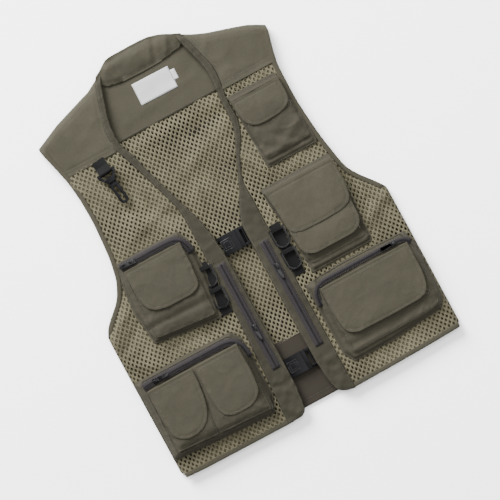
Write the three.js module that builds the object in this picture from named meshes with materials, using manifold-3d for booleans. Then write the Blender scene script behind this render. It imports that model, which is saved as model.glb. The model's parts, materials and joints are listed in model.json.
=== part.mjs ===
// A multi-pocket fishing vest, lying on its back with the two fronts uppermost.
// Millimetres. +X runs to the wearer's left, +Y to the collar, +Z up off the surface it lies on.
// The origin is under the middle of the vest, on that surface.
import * as THREE from 'three';
import { mergeVertices } from 'three/addons/utils/BufferGeometryUtils.js';
import Module from 'manifold-3d';

const wasm = await Module();
wasm.setup();

// ---- driving dimensions -------------------------------------------------------------------

const seamGap = 0.3; // between two pieces sewn or laid against each other
const clothThickness = 2; // a panel with its lining and seam allowance
const buckleHeadroom = 1.7; // buckle to the underside of the placket that it slides beneath

const chestWidth = 562; // flat, side seam to side seam
const vestLength = 722; // hem to top of collar
const shoulderHalf = 229; // centre to shoulder tip
const shoulderDrop = 80; // collar top down to shoulder tip
const neckHalf = 74; // centre to the neck end of the shoulder seam
const neckDrop = 18; // collar top down to the neck end of the shoulder seam
const armholeHalf = 208; // centre to the narrowest place between the armholes
const armholeDrop = 251; // collar top down to that narrowest place
const underarmDrop = 438; // collar top down to the top of the side seam
const backYokeDrop = 140; // collar top down to the back yoke seam
const frontYokeDrop = 148; // collar top down to the front yoke seam
const lowerBandHeight = 133; // hem up to the seam of the twill band across the back
const backHemRise = 10; // the back hem stops short of the front hem
const seamWall = 3; // thickness of the fronts where they turn down to the back

const collarSeamDrop = 44; // collar top down to the collar seam at its ends
const collarSeamDip = 8; // how far that seam dips in the middle
const collarThickness = 8;
const collarFlat = 40; // half length of the straight top edge

const frontGapHalf = 25; // half the gap between the two plackets
const placketWidth = 36;
const neckBandWidth = 12;
const vPointDrop = 371; // collar top down to where the straight placket starts
const neckWidestHalf = 98; // centre to the widest place of the neckline
const neckWidestDrop = 116; // collar top down to that widest place

const pocketWall = 1.6;
const flapThickness = 2;
const flapCorner = 22;
const edgeMargin = 3; // pocket edge to the vest's own edge

const zipTapeWidth = 16;
const placketTapeWidth = 12;
const zipTapeThickness = 1;
const zipCoilWidth = 3;
const zipCoilHeight = 1.4;
const zipMargin = 3; // pocket cloth above the zip
const zipClearance = 0.4; // slider to coil, all round
const sliderLength = 11;
const sliderWidth = 9;
const sliderHeight = 3.4;
const bridgeWidth = 3;
const bridgeBar = 1.3;
const bridgeOpening = 4.4;
const bridgeRoom = 2.4; // height of the eye that the puller hangs in
const pullerLength = 26;
const pullerWidth = 8;
const pullerThickness = 1.2;
const pullerEye = 6; // length of the hole in the puller

const buckleWidth = 36;
const buckleHeight = 8;
const socketLength = 32;
const socketWall = 1.6;
const socketDepth = 28; // mouth to the back of the hollow
const buckleClearance = 0.4;
const plugLength = 30; // the part of the plug outside the socket
const plugShoulder = 8;
const tongueLength = 21;
const tongueWidth = 8;
const pressArmLength = 25;
const pressArmWidth = 3.6;
const gripLength = 13; // the wide end of a press arm
const strapWidth = 25;
const strapThickness = 1.4;
const plugTravel = 28; // how far the plug pulls out along its strap

const ringTapeWidth = 20;
const ringTapeCentre = 73; // vest centre to the middle of the ring tape
const ringBar = 3.4;
const ringInnerWidth = 22;
const ringHeight = 38;
const ringPitch = 43; // upper ring to lower ring
const ringTurnRoom = 1.4; // clearance round the bar inside its fold of tape
const ringToPocket = 1.1; // the pockets beside the rings stand this far off them

const hookLean = THREE.MathUtils.degToRad(7); // the hook hangs slightly towards the placket
const hookWidth = 15;
const hookThickness = 5;
const hookLength = 43;
const hookStem = 3.6;
const hookSwivelRadius = 2;
const swivelClearance = 0.3;
const hookStrapWidth = 24;
const hookLoopInner = 2.8;
const hookFrameHalf = 17;
const hookFrameLength = 20;
const hookBar = 3.4;

// ---- levels and places worked out from those --------------------------------------------------

const chestHalf = chestWidth / 2;
const collarY = vestLength / 2;
const hemY = -vestLength / 2;
const buckleBase = clothThickness + seamGap * 3 + strapThickness; // buckles lie on their straps
const frontBase = buckleBase + buckleHeight + buckleHeadroom;
const frontTop = frontBase + clothThickness;
const underarmY = collarY - underarmDrop;
const frontYokeY = collarY - frontYokeDrop;
const placketOuter = frontGapHalf + placketWidth;
const pocketInner = ringTapeCentre + ringInnerWidth / 2 + ringBar + ringToPocket;
const far = vestLength; // reaches past the vest in any direction

// Each pocket: edges on the vest front, how far each side gusset leans in, and its depth.
// Chest pockets are placed from the collar and the armhole, lower ones from the hem and side seam.
const rightChest = {
  left: -armholeHalf - 9,
  right: -pocketInner,
  bottom: collarY - 498,
  top: collarY - 327,
  gussetLeft: 18,
  gussetRight: 2,
  depth: 16,
};
const rightLower = {
  left: -chestHalf + edgeMargin,
  right: -placketOuter - 11,
  bottom: hemY + 35,
  top: hemY + 192,
  gussetLeft: 16,
  gussetRight: 12,
  depth: 18,
};
const leftUpper = {
  left: neckWidestHalf + 11,
  right: armholeHalf - edgeMargin,
  bottom: collarY - 301,
  top: collarY - 169,
  gussetLeft: 4,
  gussetRight: 4,
  depth: 12,
};
const leftMiddle = {
  left: pocketInner,
  right: armholeHalf + 8,
  bottom: collarY - 500,
  top: collarY - 343,
  gussetLeft: 3,
  gussetRight: 7,
  depth: 14,
};
const leftLower = {
  left: placketOuter + 10,
  right: chestHalf - edgeMargin,
  bottom: hemY + 56,
  top: hemY + 205,
  gussetLeft: 20,
  gussetRight: 16,
  depth: 18,
};
const pocketLip = 6; // how far the bottom gusset leans in
const twinDepth = 6.4; // depth of the double pocket on the right lower one
const twinSplitShare = 0.506; // how far across the double pocket its two halves meet

// ---- materials -----------------------------------------------------------------------------

function finish(color, roughness, metalness = 0) {
  return new THREE.MeshStandardMaterial({ color, roughness, metalness });
}
const twill = () => finish(0x6b6553, 0.9);
const darkTwill = () => finish(0x575244, 0.9);
const netting = () => finish(0x9c9470, 0.95);
const zipTape = () => finish(0x5f585a, 0.9);
const webbing = () => finish(0x1e1e20, 0.85);
const plastic = () => finish(0x17181a, 0.4);

// ---- making and joining solids ----------------------------------------------------------------

const vest = new THREE.Group();

function addMesh(parent, name, geometry, material) {
  const mesh = new THREE.Mesh(geometry, material);
  mesh.name = name;
  parent.add(mesh);
  return mesh;
}

function block(x0, x1, y0, y1, z0, z1) {
  const geometry = new THREE.BoxGeometry(x1 - x0, y1 - y0, z1 - z0);
  return geometry.translate((x0 + x1) / 2, (y0 + y1) / 2, (z0 + z1) / 2);
}

function plate(shape, z, thickness, curveSegments = 8) {
  const geometry = new THREE.ExtrudeGeometry(shape, { depth: thickness, bevelEnabled: false, curveSegments });
  return geometry.translate(0, 0, z);
}

// An outline drawn in the YZ plane and pushed out equally to both sides along X.
function plateAcross(shape, width, curveSegments = 4) {
  const geometry = plate(shape, -width / 2, width, curveSegments);
  const turn = new THREE.Matrix4();
  const alongY = new THREE.Vector3(0, 1, 0);
  const alongZ = new THREE.Vector3(0, 0, 1);
  const alongX = new THREE.Vector3(1, 0, 0);
  return geometry.applyMatrix4(turn.makeBasis(alongY, alongZ, alongX));
}

function rectangle(x0, x1, y0, y1) {
  const shape = new THREE.Shape();
  shape.moveTo(x0, y0).lineTo(x1, y0).lineTo(x1, y1).lineTo(x0, y1).closePath();
  return shape;
}

// A block whose low and high faces may differ: corners are joined by straight sides.
function taperedBlock(low, high) {
  const corner = (face, x, y) => [x ? face.right : face.left, y ? face.top : face.bottom, face.z];
  const points = [];
  for (const face of [low, high]) {
    points.push(corner(face, 0, 0), corner(face, 1, 0), corner(face, 1, 1), corner(face, 0, 1));
  }
  const quads = [[3, 2, 1, 0], [4, 5, 6, 7], [0, 1, 5, 4], [1, 2, 6, 5], [2, 3, 7, 6], [3, 0, 4, 7]];
  const index = quads.flatMap(([a, b, c, d]) => [a, b, c, a, c, d]);
  const geometry = new THREE.BufferGeometry();
  geometry.setAttribute('position', new THREE.Float32BufferAttribute(points.flat(), 3));
  geometry.setIndex(index);
  return geometry;
}

function toSolid(geometry) {
  const bare = geometry.clone();
  bare.deleteAttribute('normal');
  bare.deleteAttribute('uv');
  const merged = mergeVertices(bare, 1e-4);
  const vertProperties = Float32Array.from(merged.attributes.position.array);
  const triVerts = Uint32Array.from(merged.index.array);
  return new wasm.Manifold(new wasm.Mesh({ numProp: 3, vertProperties, triVerts }));
}

function toGeometry(solid) {
  const { vertProperties, triVerts } = solid.getMesh();
  const geometry = new THREE.BufferGeometry();
  geometry.setAttribute('position', new THREE.Float32BufferAttribute(vertProperties, 3));
  geometry.setIndex(new THREE.Uint32BufferAttribute(triVerts, 1));
  return geometry;
}

function joined(...pieces) {
  return toGeometry(pieces.map(toSolid).reduce((whole, piece) => whole.add(piece)));
}

function cut(piece, ...tools) {
  return toGeometry(tools.map(toSolid).reduce((rest, tool) => rest.subtract(tool), toSolid(piece)));
}

function common(piece, region) {
  return toGeometry(toSolid(piece).intersect(toSolid(region)));
}

// ---- outline of the vest ------------------------------------------------------------------------

// From the shoulder tip down the armhole to the top of the side seam; side is +1 or -1.
function drawArmhole(shape, side) {
  const tipY = collarY - shoulderDrop;
  const narrowY = collarY - armholeDrop;
  const upper = tipY - narrowY;
  const lower = narrowY - underarmY;
  const lean = shoulderHalf - armholeHalf;
  const reach = chestHalf - armholeHalf;
  shape.bezierCurveTo(
    side * (armholeHalf + lean / 3), tipY - upper / 3,
    side * armholeHalf, narrowY + upper / 3,
    side * armholeHalf, narrowY);
  shape.bezierCurveTo(
    side * armholeHalf, narrowY - lower * 0.38,
    side * (armholeHalf + reach * 0.25), underarmY + lower * 0.3,
    side * chestHalf, underarmY);
}

// The neckline of one front, from the top of the placket up to the shoulder seam.
function necklinePoints(side) {
  const startY = collarY - vPointDrop;
  const widestY = collarY - neckWidestDrop;
  const neckY = collarY - neckDrop;
  const rise = widestY - startY;
  const spread = neckWidestHalf - frontGapHalf;
  const curve = new THREE.SplineCurve([
    new THREE.Vector2(side * frontGapHalf, startY),
    new THREE.Vector2(side * (frontGapHalf + spread * 0.33), startY + rise * 0.22),
    new THREE.Vector2(side * (frontGapHalf + spread * 0.92), startY + rise * 0.74),
    new THREE.Vector2(side * neckWidestHalf, widestY),
    new THREE.Vector2(side * neckHalf, neckY),
  ]);
  return curve.getPoints(14);
}

function frontOutline(side) {
  const neckline = necklinePoints(side);
  const shape = new THREE.Shape();
  shape.moveTo(side * frontGapHalf, hemY);
  neckline.forEach((point) => shape.lineTo(point.x, point.y));
  shape.lineTo(side * shoulderHalf, collarY - shoulderDrop);
  drawArmhole(shape, side);
  shape.lineTo(side * chestHalf, hemY);
  shape.closePath();
  return shape;
}

// The strip of the placket and the band that follows the neckline above it.
function placketRegion(side, grow) {
  const neckline = necklinePoints(side);
  const last = neckline.length - 1;
  const width = neckBandWidth + grow;
  const outer = neckline.map((point, i) => {
    const along = neckline[Math.min(i + 1, last)].clone().sub(neckline[Math.max(i - 1, 0)]).normalize();
    return new THREE.Vector2(point.x + side * along.y * width, point.y - side * along.x * width);
  });
  const end = neckline[last];
  const band = new THREE.Shape();
  band.moveTo(0, neckline[0].y);
  outer.forEach((point) => band.lineTo(point.x, point.y));
  band.lineTo(outer[last].x, far);
  band.lineTo(0, far);
  band.lineTo(0, end.y);
  band.closePath();
  const stripTop = collarY - vPointDrop + placketWidth * 1.8;
  const outerX = side * (placketOuter + grow);
  const strip = rectangle(Math.min(0, outerX), Math.max(0, outerX), -far, stripTop);
  const low = frontBase - clothThickness;
  return joined(plate(band, low, clothThickness * 3), plate(strip, low, clothThickness * 3));
}

function backOutline() {
  const shape = new THREE.Shape();
  const seamY = collarY - collarSeamDrop;
  shape.moveTo(-chestHalf, hemY + backHemRise);
  shape.lineTo(-chestHalf, underarmY);
  const armhole = new THREE.Shape();
  armhole.moveTo(-shoulderHalf, collarY - shoulderDrop);
  drawArmhole(armhole, -1);
  armhole.getPoints(8).reverse().forEach((point) => shape.lineTo(point.x, point.y));
  shape.lineTo(-neckHalf, collarY - neckDrop);
  shape.lineTo(-neckHalf, seamY);
  shape.quadraticCurveTo(0, seamY - 2 * collarSeamDip, neckHalf, seamY);
  shape.lineTo(neckHalf, collarY - neckDrop);
  shape.lineTo(shoulderHalf, collarY - shoulderDrop);
  drawArmhole(shape, 1);
  shape.lineTo(chestHalf, hemY + backHemRise);
  shape.closePath();
  return shape;
}

// ---- back: yoke, net, lower band, collar --------------------------------------------------------

function addBack() {
  const whole = plate(backOutline(), 0, clothThickness);
  const yokeY = collarY - backYokeDrop;
  const bandY = hemY + lowerBandHeight;
  const over = clothThickness * 2;
  const yoke = common(whole, block(-far, far, yokeY + seamGap, far, -over, over));
  const net = common(whole, block(-far, far, bandY + seamGap, yokeY, -over, over));
  const band = common(whole, block(-far, far, -far, bandY, -over, over));
  addMesh(vest, 'back_yoke', yoke, darkTwill());
  addMesh(vest, 'back_mesh_panel', net, netting());
  addMesh(vest, 'back_lower_band', band, twill());
}

function addCollar() {
  const half = neckHalf - seamGap;
  const seamY = collarY - collarSeamDrop + seamGap;
  const shape = new THREE.Shape();
  shape.moveTo(-half, seamY);
  shape.quadraticCurveTo(0, seamY - 2 * collarSeamDip, half, seamY);
  shape.lineTo(half, collarY - neckDrop - seamGap);
  shape.quadraticCurveTo(half, collarY, collarFlat, collarY);
  shape.lineTo(-collarFlat, collarY);
  shape.quadraticCurveTo(-half, collarY, -half, collarY - neckDrop - seamGap);
  shape.closePath();
  addMesh(vest, 'collar', plate(shape, 0, collarThickness), darkTwill());
}

// ---- fronts: yoke, net panel and placket on each side -------------------------------------------

// The fronts turn down to meet the back along the side seam and the shoulder seam.
function sideWall(side) {
  const outer = side * chestHalf;
  const inner = side * (chestHalf - seamWall);
  const low = clothThickness + seamGap;
  return block(Math.min(outer, inner), Math.max(outer, inner), hemY + backHemRise, underarmY, low, frontTop);
}

function shoulderWall(side) {
  const shape = new THREE.Shape();
  const neck = new THREE.Vector2(side * (neckHalf + neckBandWidth + seamWall), 0);
  const tip = new THREE.Vector2(side * shoulderHalf, collarY - shoulderDrop);
  const slope = (neckDrop - shoulderDrop) / (shoulderHalf - neckHalf);
  neck.y = collarY - neckDrop + slope * (Math.abs(neck.x) - neckHalf);
  shape.moveTo(neck.x, neck.y);
  shape.lineTo(tip.x, tip.y);
  shape.lineTo(tip.x, tip.y - seamWall);
  shape.lineTo(neck.x, neck.y - seamWall);
  shape.closePath();
  const low = clothThickness + seamGap;
  return plate(shape, low, frontTop - low);
}

function addFront(side, sideName) {
  const whole = plate(frontOutline(side), frontBase, clothThickness);
  const low = -clothThickness;
  const high = frontTop + clothThickness;
  const above = block(-far, far, frontYokeY + seamGap, far, low, high);
  const below = block(-far, far, -far, frontYokeY, low, high);
  const placket = common(whole, placketRegion(side, 0));
  const panel = cut(whole, placketRegion(side, seamGap));
  const yoke = joined(common(panel, above), common(shoulderWall(side), above));
  const net = joined(common(panel, below), sideWall(side));
  addMesh(vest, `${sideName}_front_yoke`, yoke, darkTwill());
  addMesh(vest, `${sideName}_front_mesh_panel`, net, netting());
  addMesh(vest, `${sideName}_placket`, placket, twill());
}

// ---- pockets --------------------------------------------------------------------------------------

// The face of the pocket that looks away from the vest.
function pocketFace(pocket, inset, z) {
  return {
    left: pocket.left + pocket.gussetLeft + inset,
    right: pocket.right - pocket.gussetRight - inset,
    bottom: pocket.bottom + pocketLip + inset,
    top: pocket.top - inset,
    z,
  };
}

function pocketFoot(pocket, inset, z) {
  return {
    left: pocket.left + inset,
    right: pocket.right - inset,
    bottom: pocket.bottom + inset,
    top: pocket.top - inset,
    z,
  };
}

// A bag open towards the vest front, which closes it; its mouth is a slot for the zip,
// or the whole upper edge where only a flap covers it.
function pocketShell(pocket, base, hasZip) {
  const top = base + pocket.depth;
  const outside = taperedBlock(pocketFoot(pocket, 0, base), pocketFace(pocket, 0, top));
  const below = base - clothThickness;
  const hollow = taperedBlock(
    pocketFoot(pocket, pocketWall, below), pocketFace(pocket, pocketWall, top - pocketWall));
  const face = pocketFace(pocket, pocketWall, top);
  const mouth = hasZip
    ? block(face.left, face.right, zipCentre(pocket) - zipTapeWidth / 2 - seamGap,
      zipCentre(pocket) + zipTapeWidth / 2 + seamGap, top - pocketWall * 2, top + pocketWall)
    : block(face.left, face.right, pocket.top - pocketWall * 3, pocket.top + pocketWall,
      below, top - pocketWall);
  return cut(outside, hollow, mouth);
}

function zipCentre(pocket) {
  return pocket.top - zipMargin - zipTapeWidth / 2;
}

function addPocket(name, pocket, hasZip) {
  addMesh(vest, name, pocketShell(pocket, frontTop + seamGap, hasZip), twill());
}

function pocketTop(pocket) {
  return frontTop + seamGap + pocket.depth;
}

// The double patch pocket on the face of the right lower pocket, with two bags side by side.
function twinPocketEdges() {
  const face = pocketFace(rightLower, 0, 0);
  const top = zipCentre(rightLower) - zipTapeWidth / 2 - edgeMargin;
  return { left: face.left, right: face.right, bottom: face.bottom + edgeMargin, top };
}

function twinSplit() {
  const { left, right } = twinPocketEdges();
  return left + (right - left) * twinSplitShare;
}

function addTwinPocket() {
  const { left, right, bottom, top } = twinPocketEdges();
  const base = pocketTop(rightLower) + seamGap;
  const high = base + twinDepth;
  const outside = block(left, right, bottom, top, base, high);
  const bag = (x0, x1) => block(x0, x1, bottom + pocketWall, top + pocketWall, base - 1, high - pocketWall);
  const firstBag = bag(left + pocketWall, twinSplit() - pocketWall / 2);
  const secondBag = bag(twinSplit() + pocketWall / 2, right - pocketWall);
  addMesh(vest, 'right_lower_twin_pocket', cut(outside, firstBag, secondBag), twill());
}

// ---- flaps ------------------------------------------------------------------------------------------

// A flap hangs from its upper edge, hingeY, and lies on what it covers.
function addFlap(name, left, right, hingeY, length, z) {
  const bottom = hingeY - length;
  const shape = new THREE.Shape();
  shape.moveTo(left, hingeY);
  shape.lineTo(left, bottom + flapCorner);
  shape.absarc(left + flapCorner, bottom + flapCorner, flapCorner, Math.PI, Math.PI * 1.5);
  shape.absarc(right - flapCorner, bottom + flapCorner, flapCorner, Math.PI * 1.5, Math.PI * 2);
  shape.lineTo(right, hingeY);
  shape.closePath();
  addMesh(vest, name, plate(shape, z, flapThickness, 5), darkTwill());
}

// Length of each flap, from its seam to its free edge.
const rightChestFlap = 92;
const rightLowerFlap = 110;
const leftUpperFlap = 60;
const leftMiddleFlap = 92;
const leftMiddleUnderFlap = 108;
const underFlapStart = 28; // the under flap is sewn this far below the outer one
const leftLowerFlap = 101;
const flapOverhang = 2; // a flap stands past the pocket face at each side
const twinFlapGap = 2; // between the two flaps of the double pocket

function addFlaps() {
  const belowZip = (pocket) => zipCentre(pocket) - zipTapeWidth / 2 - seamGap;
  const overPocket = (name, pocket, hingeY, length) => {
    const face = pocketFace(pocket, -flapOverhang, 0);
    const right = Math.min(face.right, pocket.right);
    const left = Math.max(face.left, pocket.left);
    addFlap(name, left, right, hingeY, length, pocketTop(pocket) + seamGap);
  };
  overPocket('right_chest_flap', rightChest, belowZip(rightChest), rightChestFlap);
  overPocket('left_lower_flap', leftLower, belowZip(leftLower), leftLowerFlap);
  overPocket('left_upper_flap', leftUpper, leftUpper.top - edgeMargin, leftUpperFlap);
  overPocket('left_middle_under_flap', leftMiddle, leftMiddle.top - underFlapStart, leftMiddleUnderFlap);

  const outerZ = pocketTop(leftMiddle) + seamGap * 2 + flapThickness;
  addFlap('left_middle_outer_flap', leftMiddle.left - flapOverhang / 2, leftMiddle.right,
    leftMiddle.top - seamGap, leftMiddleFlap, outerZ);

  const twin = twinPocketEdges();
  const twinZ = pocketTop(rightLower) + seamGap * 2 + twinDepth;
  const twinHinge = belowZip(rightLower);
  addFlap('right_lower_outer_flap', twin.left - flapOverhang, twinSplit() - twinFlapGap / 2,
    twinHinge, rightLowerFlap, twinZ);
  addFlap('right_lower_inner_flap', twinSplit() + twinFlapGap / 2, twin.right,
    twinHinge, rightLowerFlap, twinZ);
}

// ---- zips -------------------------------------------------------------------------------------------

function zipChain(length, tapeWidth) {
  const half = length / 2;
  const tape = block(-half, half, -tapeWidth / 2, tapeWidth / 2, 0, zipTapeThickness);
  const coil = block(-half + 1, half - 1, -zipCoilWidth / 2, zipCoilWidth / 2,
    zipTapeThickness / 2, zipTapeThickness + zipCoilHeight);
  return joined(tape, coil);
}

// The slider straddles the coil; the puller hangs in the eye of the bridge on its back.
function sliderBody() {
  const base = zipTapeThickness + seamGap;
  const top = base + sliderHeight;
  const body = block(-sliderLength / 2, sliderLength / 2, -sliderWidth / 2, sliderWidth / 2, base, top);
  const channelHalf = zipCoilWidth / 2 + zipClearance;
  const channel = block(-sliderLength, sliderLength, -channelHalf, channelHalf,
    base - 1, zipTapeThickness + zipCoilHeight + zipClearance);
  const reach = bridgeOpening / 2 + bridgeBar;
  const high = top + bridgeRoom + bridgeBar;
  const bridge = block(-reach, reach, -bridgeWidth / 2, bridgeWidth / 2, top - 1, high);
  const eye = block(-bridgeOpening / 2, bridgeOpening / 2, -bridgeWidth, bridgeWidth, top, top + bridgeRoom);
  return cut(joined(cut(body, channel), bridge), eye);
}

function pullerHingeZ() {
  return zipTapeThickness + seamGap + sliderHeight + bridgeRoom / 2;
}

function pullerBody() {
  const z0 = pullerHingeZ() - pullerThickness / 2;
  const bar = pullerThickness / 2;
  const half = pullerWidth / 2;
  const shape = new THREE.Shape();
  shape.moveTo(-bar, -half);
  shape.lineTo(pullerLength - half, -half * 0.8);
  shape.absarc(pullerLength - half, 0, half * 0.8, -Math.PI / 2, Math.PI / 2);
  shape.lineTo(-bar, half);
  shape.closePath();
  const eyeHalf = bridgeWidth / 2 + zipClearance * 2;
  const hole = new THREE.Path();
  hole.moveTo(bar, -eyeHalf).lineTo(bar, eyeHalf);
  hole.lineTo(bar + pullerEye, eyeHalf).lineTo(bar + pullerEye, -eyeHalf).closePath();
  shape.holes.push(hole);
  return plate(shape, z0, pullerThickness, 5);
}

// length along the coil, sliderAt the slider's place along it, turn about Z of the whole zip.
function addZip(name, { x, y, z, length, tapeWidth, sliderAt, turn, pullerTurn }) {
  const zip = new THREE.Group();
  zip.position.set(x, y, z);
  zip.rotation.z = turn;
  addMesh(zip, `${name}_zip`, zipChain(length, tapeWidth), zipTape());
  const slider = addMesh(zip, `${name}_zip_slider`, sliderBody(), plastic());
  slider.position.x = sliderAt;
  const puller = addMesh(zip, `${name}_zip_puller`, pullerBody(), plastic());
  puller.position.x = sliderAt;
  puller.rotation.z = pullerTurn;
  vest.add(zip);
}

function addPocketZip(name, pocket, sliderX, pullerTurn) {
  const face = pocketFace(pocket, pocketWall, 0);
  const x = (face.left + face.right) / 2;
  addZip(name, {
    x,
    y: zipCentre(pocket),
    z: pocketTop(pocket) - pocketWall,
    length: face.right - face.left - 2 * seamGap,
    tapeWidth: zipTapeWidth,
    sliderAt: sliderX - x,
    turn: 0,
    pullerTurn,
  });
}

const placketZipLength = 206;
const placketZipTop = 417; // collar top down to the top of each placket zip
const rightSliderDrop = 126; // top of the zip down to the slider on the right front
const leftSliderDrop = 49;

function addZips() {
  const fromEnd = sliderLength * 2;
  addPocketZip('right_chest', rightChest, rightChest.left + rightChest.gussetLeft + fromEnd, Math.PI);
  addPocketZip('right_lower', rightLower, rightLower.left + rightLower.gussetLeft + fromEnd, 0);
  addPocketZip('left_lower', leftLower, leftLower.right - leftLower.gussetRight - fromEnd, Math.PI);
  for (const [sideName, side, drop] of [['right', -1, rightSliderDrop], ['left', 1, leftSliderDrop]]) {
    addZip(`${sideName}_placket`, {
      x: side * (frontGapHalf + placketWidth / 2),
      y: collarY - placketZipTop - placketZipLength / 2,
      z: frontTop + seamGap,
      length: placketZipLength,
      tapeWidth: placketTapeWidth,
      sliderAt: drop - placketZipLength / 2,
      turn: -Math.PI / 2,
      pullerTurn: 0,
    });
  }
}

// ---- side-release buckles and their straps --------------------------------------------------------

const mouthX = 6; // where the socket ends and the plug's shoulder starts, from the vest centre
const armPivotY = buckleWidth / 2 - socketWall - buckleClearance - pressArmWidth / 2 - 1.6;
const armGap = 0.6; // root of a press arm to the shoulder of the plug

// Everything of a buckle is drawn with its mouth at x = 0 and its strap side below z = 0.
function socketBody() {
  const half = buckleWidth / 2;
  const body = block(-socketLength, 0, -half, half, 0, buckleHeight);
  const hollowHalf = half - socketWall;
  const hollow = block(-socketDepth, 1, -hollowHalf, hollowHalf, socketWall, buckleHeight - socketWall);
  const windowStart = -pressArmLength - 1;
  const windows = block(windowStart, windowStart + gripLength, -buckleWidth, buckleWidth,
    socketWall, buckleHeight - socketWall);
  return cut(body, hollow, windows);
}

// The loop behind the socket that its strap is sewn round.
const tailLength = 8;
const tailBar = 3;

function socketTail() {
  const half = buckleWidth / 2;
  const frame = block(-socketLength - tailLength, -socketLength + 1, -half, half, 0, buckleHeight - socketWall);
  const slotHalf = strapWidth / 2 + buckleClearance;
  const slot = block(-socketLength - tailLength + tailBar, -socketLength - seamGap, -slotHalf, slotHalf,
    -1, buckleHeight);
  return cut(frame, slot);
}

function plugBody() {
  const half = buckleWidth / 2;
  const low = socketWall + buckleClearance;
  const high = buckleHeight - socketWall - buckleClearance;
  const shoulder = block(seamGap, plugShoulder, -half, half, 0, buckleHeight);
  const tongue = block(-tongueLength, plugShoulder / 2, -tongueWidth / 2, tongueWidth / 2, low, high);
  const frame = block(plugShoulder - 1, plugLength, -half, half, 0, buckleHeight - socketWall);
  const slotHalf = strapWidth / 2 + buckleClearance;
  const barPitch = (plugLength - plugShoulder) / 3;
  const slots = [0, 1, 2].map((i) => {
    const x = plugShoulder + i * barPitch;
    return block(x, x + barPitch - tailBar, -slotHalf, slotHalf, -1, buckleHeight + 1);
  });
  return cut(joined(shoulder, tongue, frame), ...slots);
}

// One press arm, drawn for the +Y side with its pivot at the shoulder end.
function pressArm(side) {
  const low = socketWall + buckleClearance;
  const height = buckleHeight - 2 * low;
  const grip = buckleWidth / 2 - socketWall - buckleClearance;
  const inner = armPivotY - pressArmWidth / 2;
  const outer = armPivotY + pressArmWidth / 2;
  const shape = new THREE.Shape();
  shape.moveTo(-armGap, side * inner);
  shape.lineTo(-armGap, side * outer);
  shape.lineTo(-pressArmLength + gripLength, side * outer);
  shape.lineTo(-pressArmLength + gripLength - 2, side * grip);
  shape.lineTo(-pressArmLength + 3, side * grip);
  shape.lineTo(-pressArmLength, side * outer);
  shape.lineTo(-pressArmLength, side * inner);
  shape.closePath();
  return plate(shape, low, height);
}

// The strap under the placket that is sewn round the socket's tail.
function socketStrap() {
  const tail = -socketLength - tailLength;
  const low = -seamGap - strapThickness;
  const high = buckleHeight - socketWall + seamGap;
  const start = tail - 16;
  const outer = new THREE.Shape();
  outer.moveTo(start, low).lineTo(tail + tailBar + seamGap + strapThickness, low);
  outer.lineTo(tail + tailBar + seamGap + strapThickness, high + strapThickness);
  outer.lineTo(tail - seamGap - strapThickness, high + strapThickness);
  outer.lineTo(tail - seamGap - strapThickness, low + strapThickness);
  outer.lineTo(start + strapThickness, low + strapThickness);
  outer.lineTo(start + strapThickness, frontBase - seamGap - buckleBase);
  outer.lineTo(start, frontBase - seamGap - buckleBase);
  outer.closePath();
  const eye = new THREE.Path();
  eye.moveTo(tail - seamGap, -seamGap).lineTo(tail - seamGap, high);
  eye.lineTo(tail + tailBar + seamGap, high).lineTo(tail + tailBar + seamGap, -seamGap).closePath();
  outer.holes.push(eye);
  return standingPlate(outer, strapWidth);
}

// The strap that the plug's ladder slides along, flat under the plug and sewn behind the placket.
function plugStrap() {
  const low = -seamGap - strapThickness;
  const end = plugLength + plugTravel + seamGap * 2;
  const shape = new THREE.Shape();
  shape.moveTo(plugShoulder, low).lineTo(end + strapThickness, low);
  shape.lineTo(end + strapThickness, frontBase - seamGap - buckleBase);
  shape.lineTo(end, frontBase - seamGap - buckleBase);
  shape.lineTo(end, low + strapThickness);
  shape.lineTo(plugShoulder, low + strapThickness);
  shape.closePath();
  return standingPlate(shape, strapWidth);
}

// An outline drawn in the XZ plane and pushed out equally to both sides along Y.
function standingPlate(shape, width) {
  return plate(shape, -width / 2, width).rotateX(Math.PI / 2);
}

const upperBuckleDrop = 391; // collar top down to the middle of the upper buckle
const lowerBuckleRise = 86; // hem up to the middle of the lower buckle

function addBuckle(name, y) {
  const buckle = new THREE.Group();
  buckle.position.set(mouthX, y, buckleBase);
  addMesh(buckle, `${name}_buckle_socket`, joined(socketBody(), socketTail()), plastic());
  addMesh(buckle, `${name}_buckle_plug`, plugBody(), plastic());
  addMesh(buckle, `${name}_buckle_upper_press_arm`, pressArm(1), plastic());
  addMesh(buckle, `${name}_buckle_lower_press_arm`, pressArm(-1), plastic());
  addMesh(buckle, `${name}_socket_strap`, socketStrap(), webbing());
  addMesh(buckle, `${name}_plug_strap`, plugStrap(), webbing());
  vest.add(buckle);
}

// ---- D-rings on their tapes -------------------------------------------------------------------------

const upperRingDrop = 408; // collar top down to the bar of each upper ring
const tapeEnd = 10; // tape sewn down above the upper bar and below the lower ring
const ringLift = clothThickness / 2 + ringBar * 0.75; // bar centre above its tape, free to turn

function dRing() {
  const outerHalf = ringInnerWidth / 2 + ringBar;
  const innerHalf = ringInnerWidth / 2;
  const straight = ringHeight - ringBar / 2 - outerHalf;
  const shape = new THREE.Shape();
  shape.moveTo(outerHalf, ringBar / 2);
  shape.lineTo(-outerHalf, ringBar / 2);
  shape.lineTo(-outerHalf, -straight);
  shape.absarc(0, -straight, outerHalf, Math.PI, Math.PI * 2);
  shape.closePath();
  const hole = new THREE.Path();
  hole.moveTo(-innerHalf, -ringBar / 2);
  hole.lineTo(innerHalf, -ringBar / 2);
  hole.lineTo(innerHalf, -straight);
  hole.absarc(0, -straight, innerHalf, Math.PI * 2, Math.PI, true);
  hole.closePath();
  shape.holes.push(hole);
  return plate(shape, -ringBar / 2, ringBar, 10);
}

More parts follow.
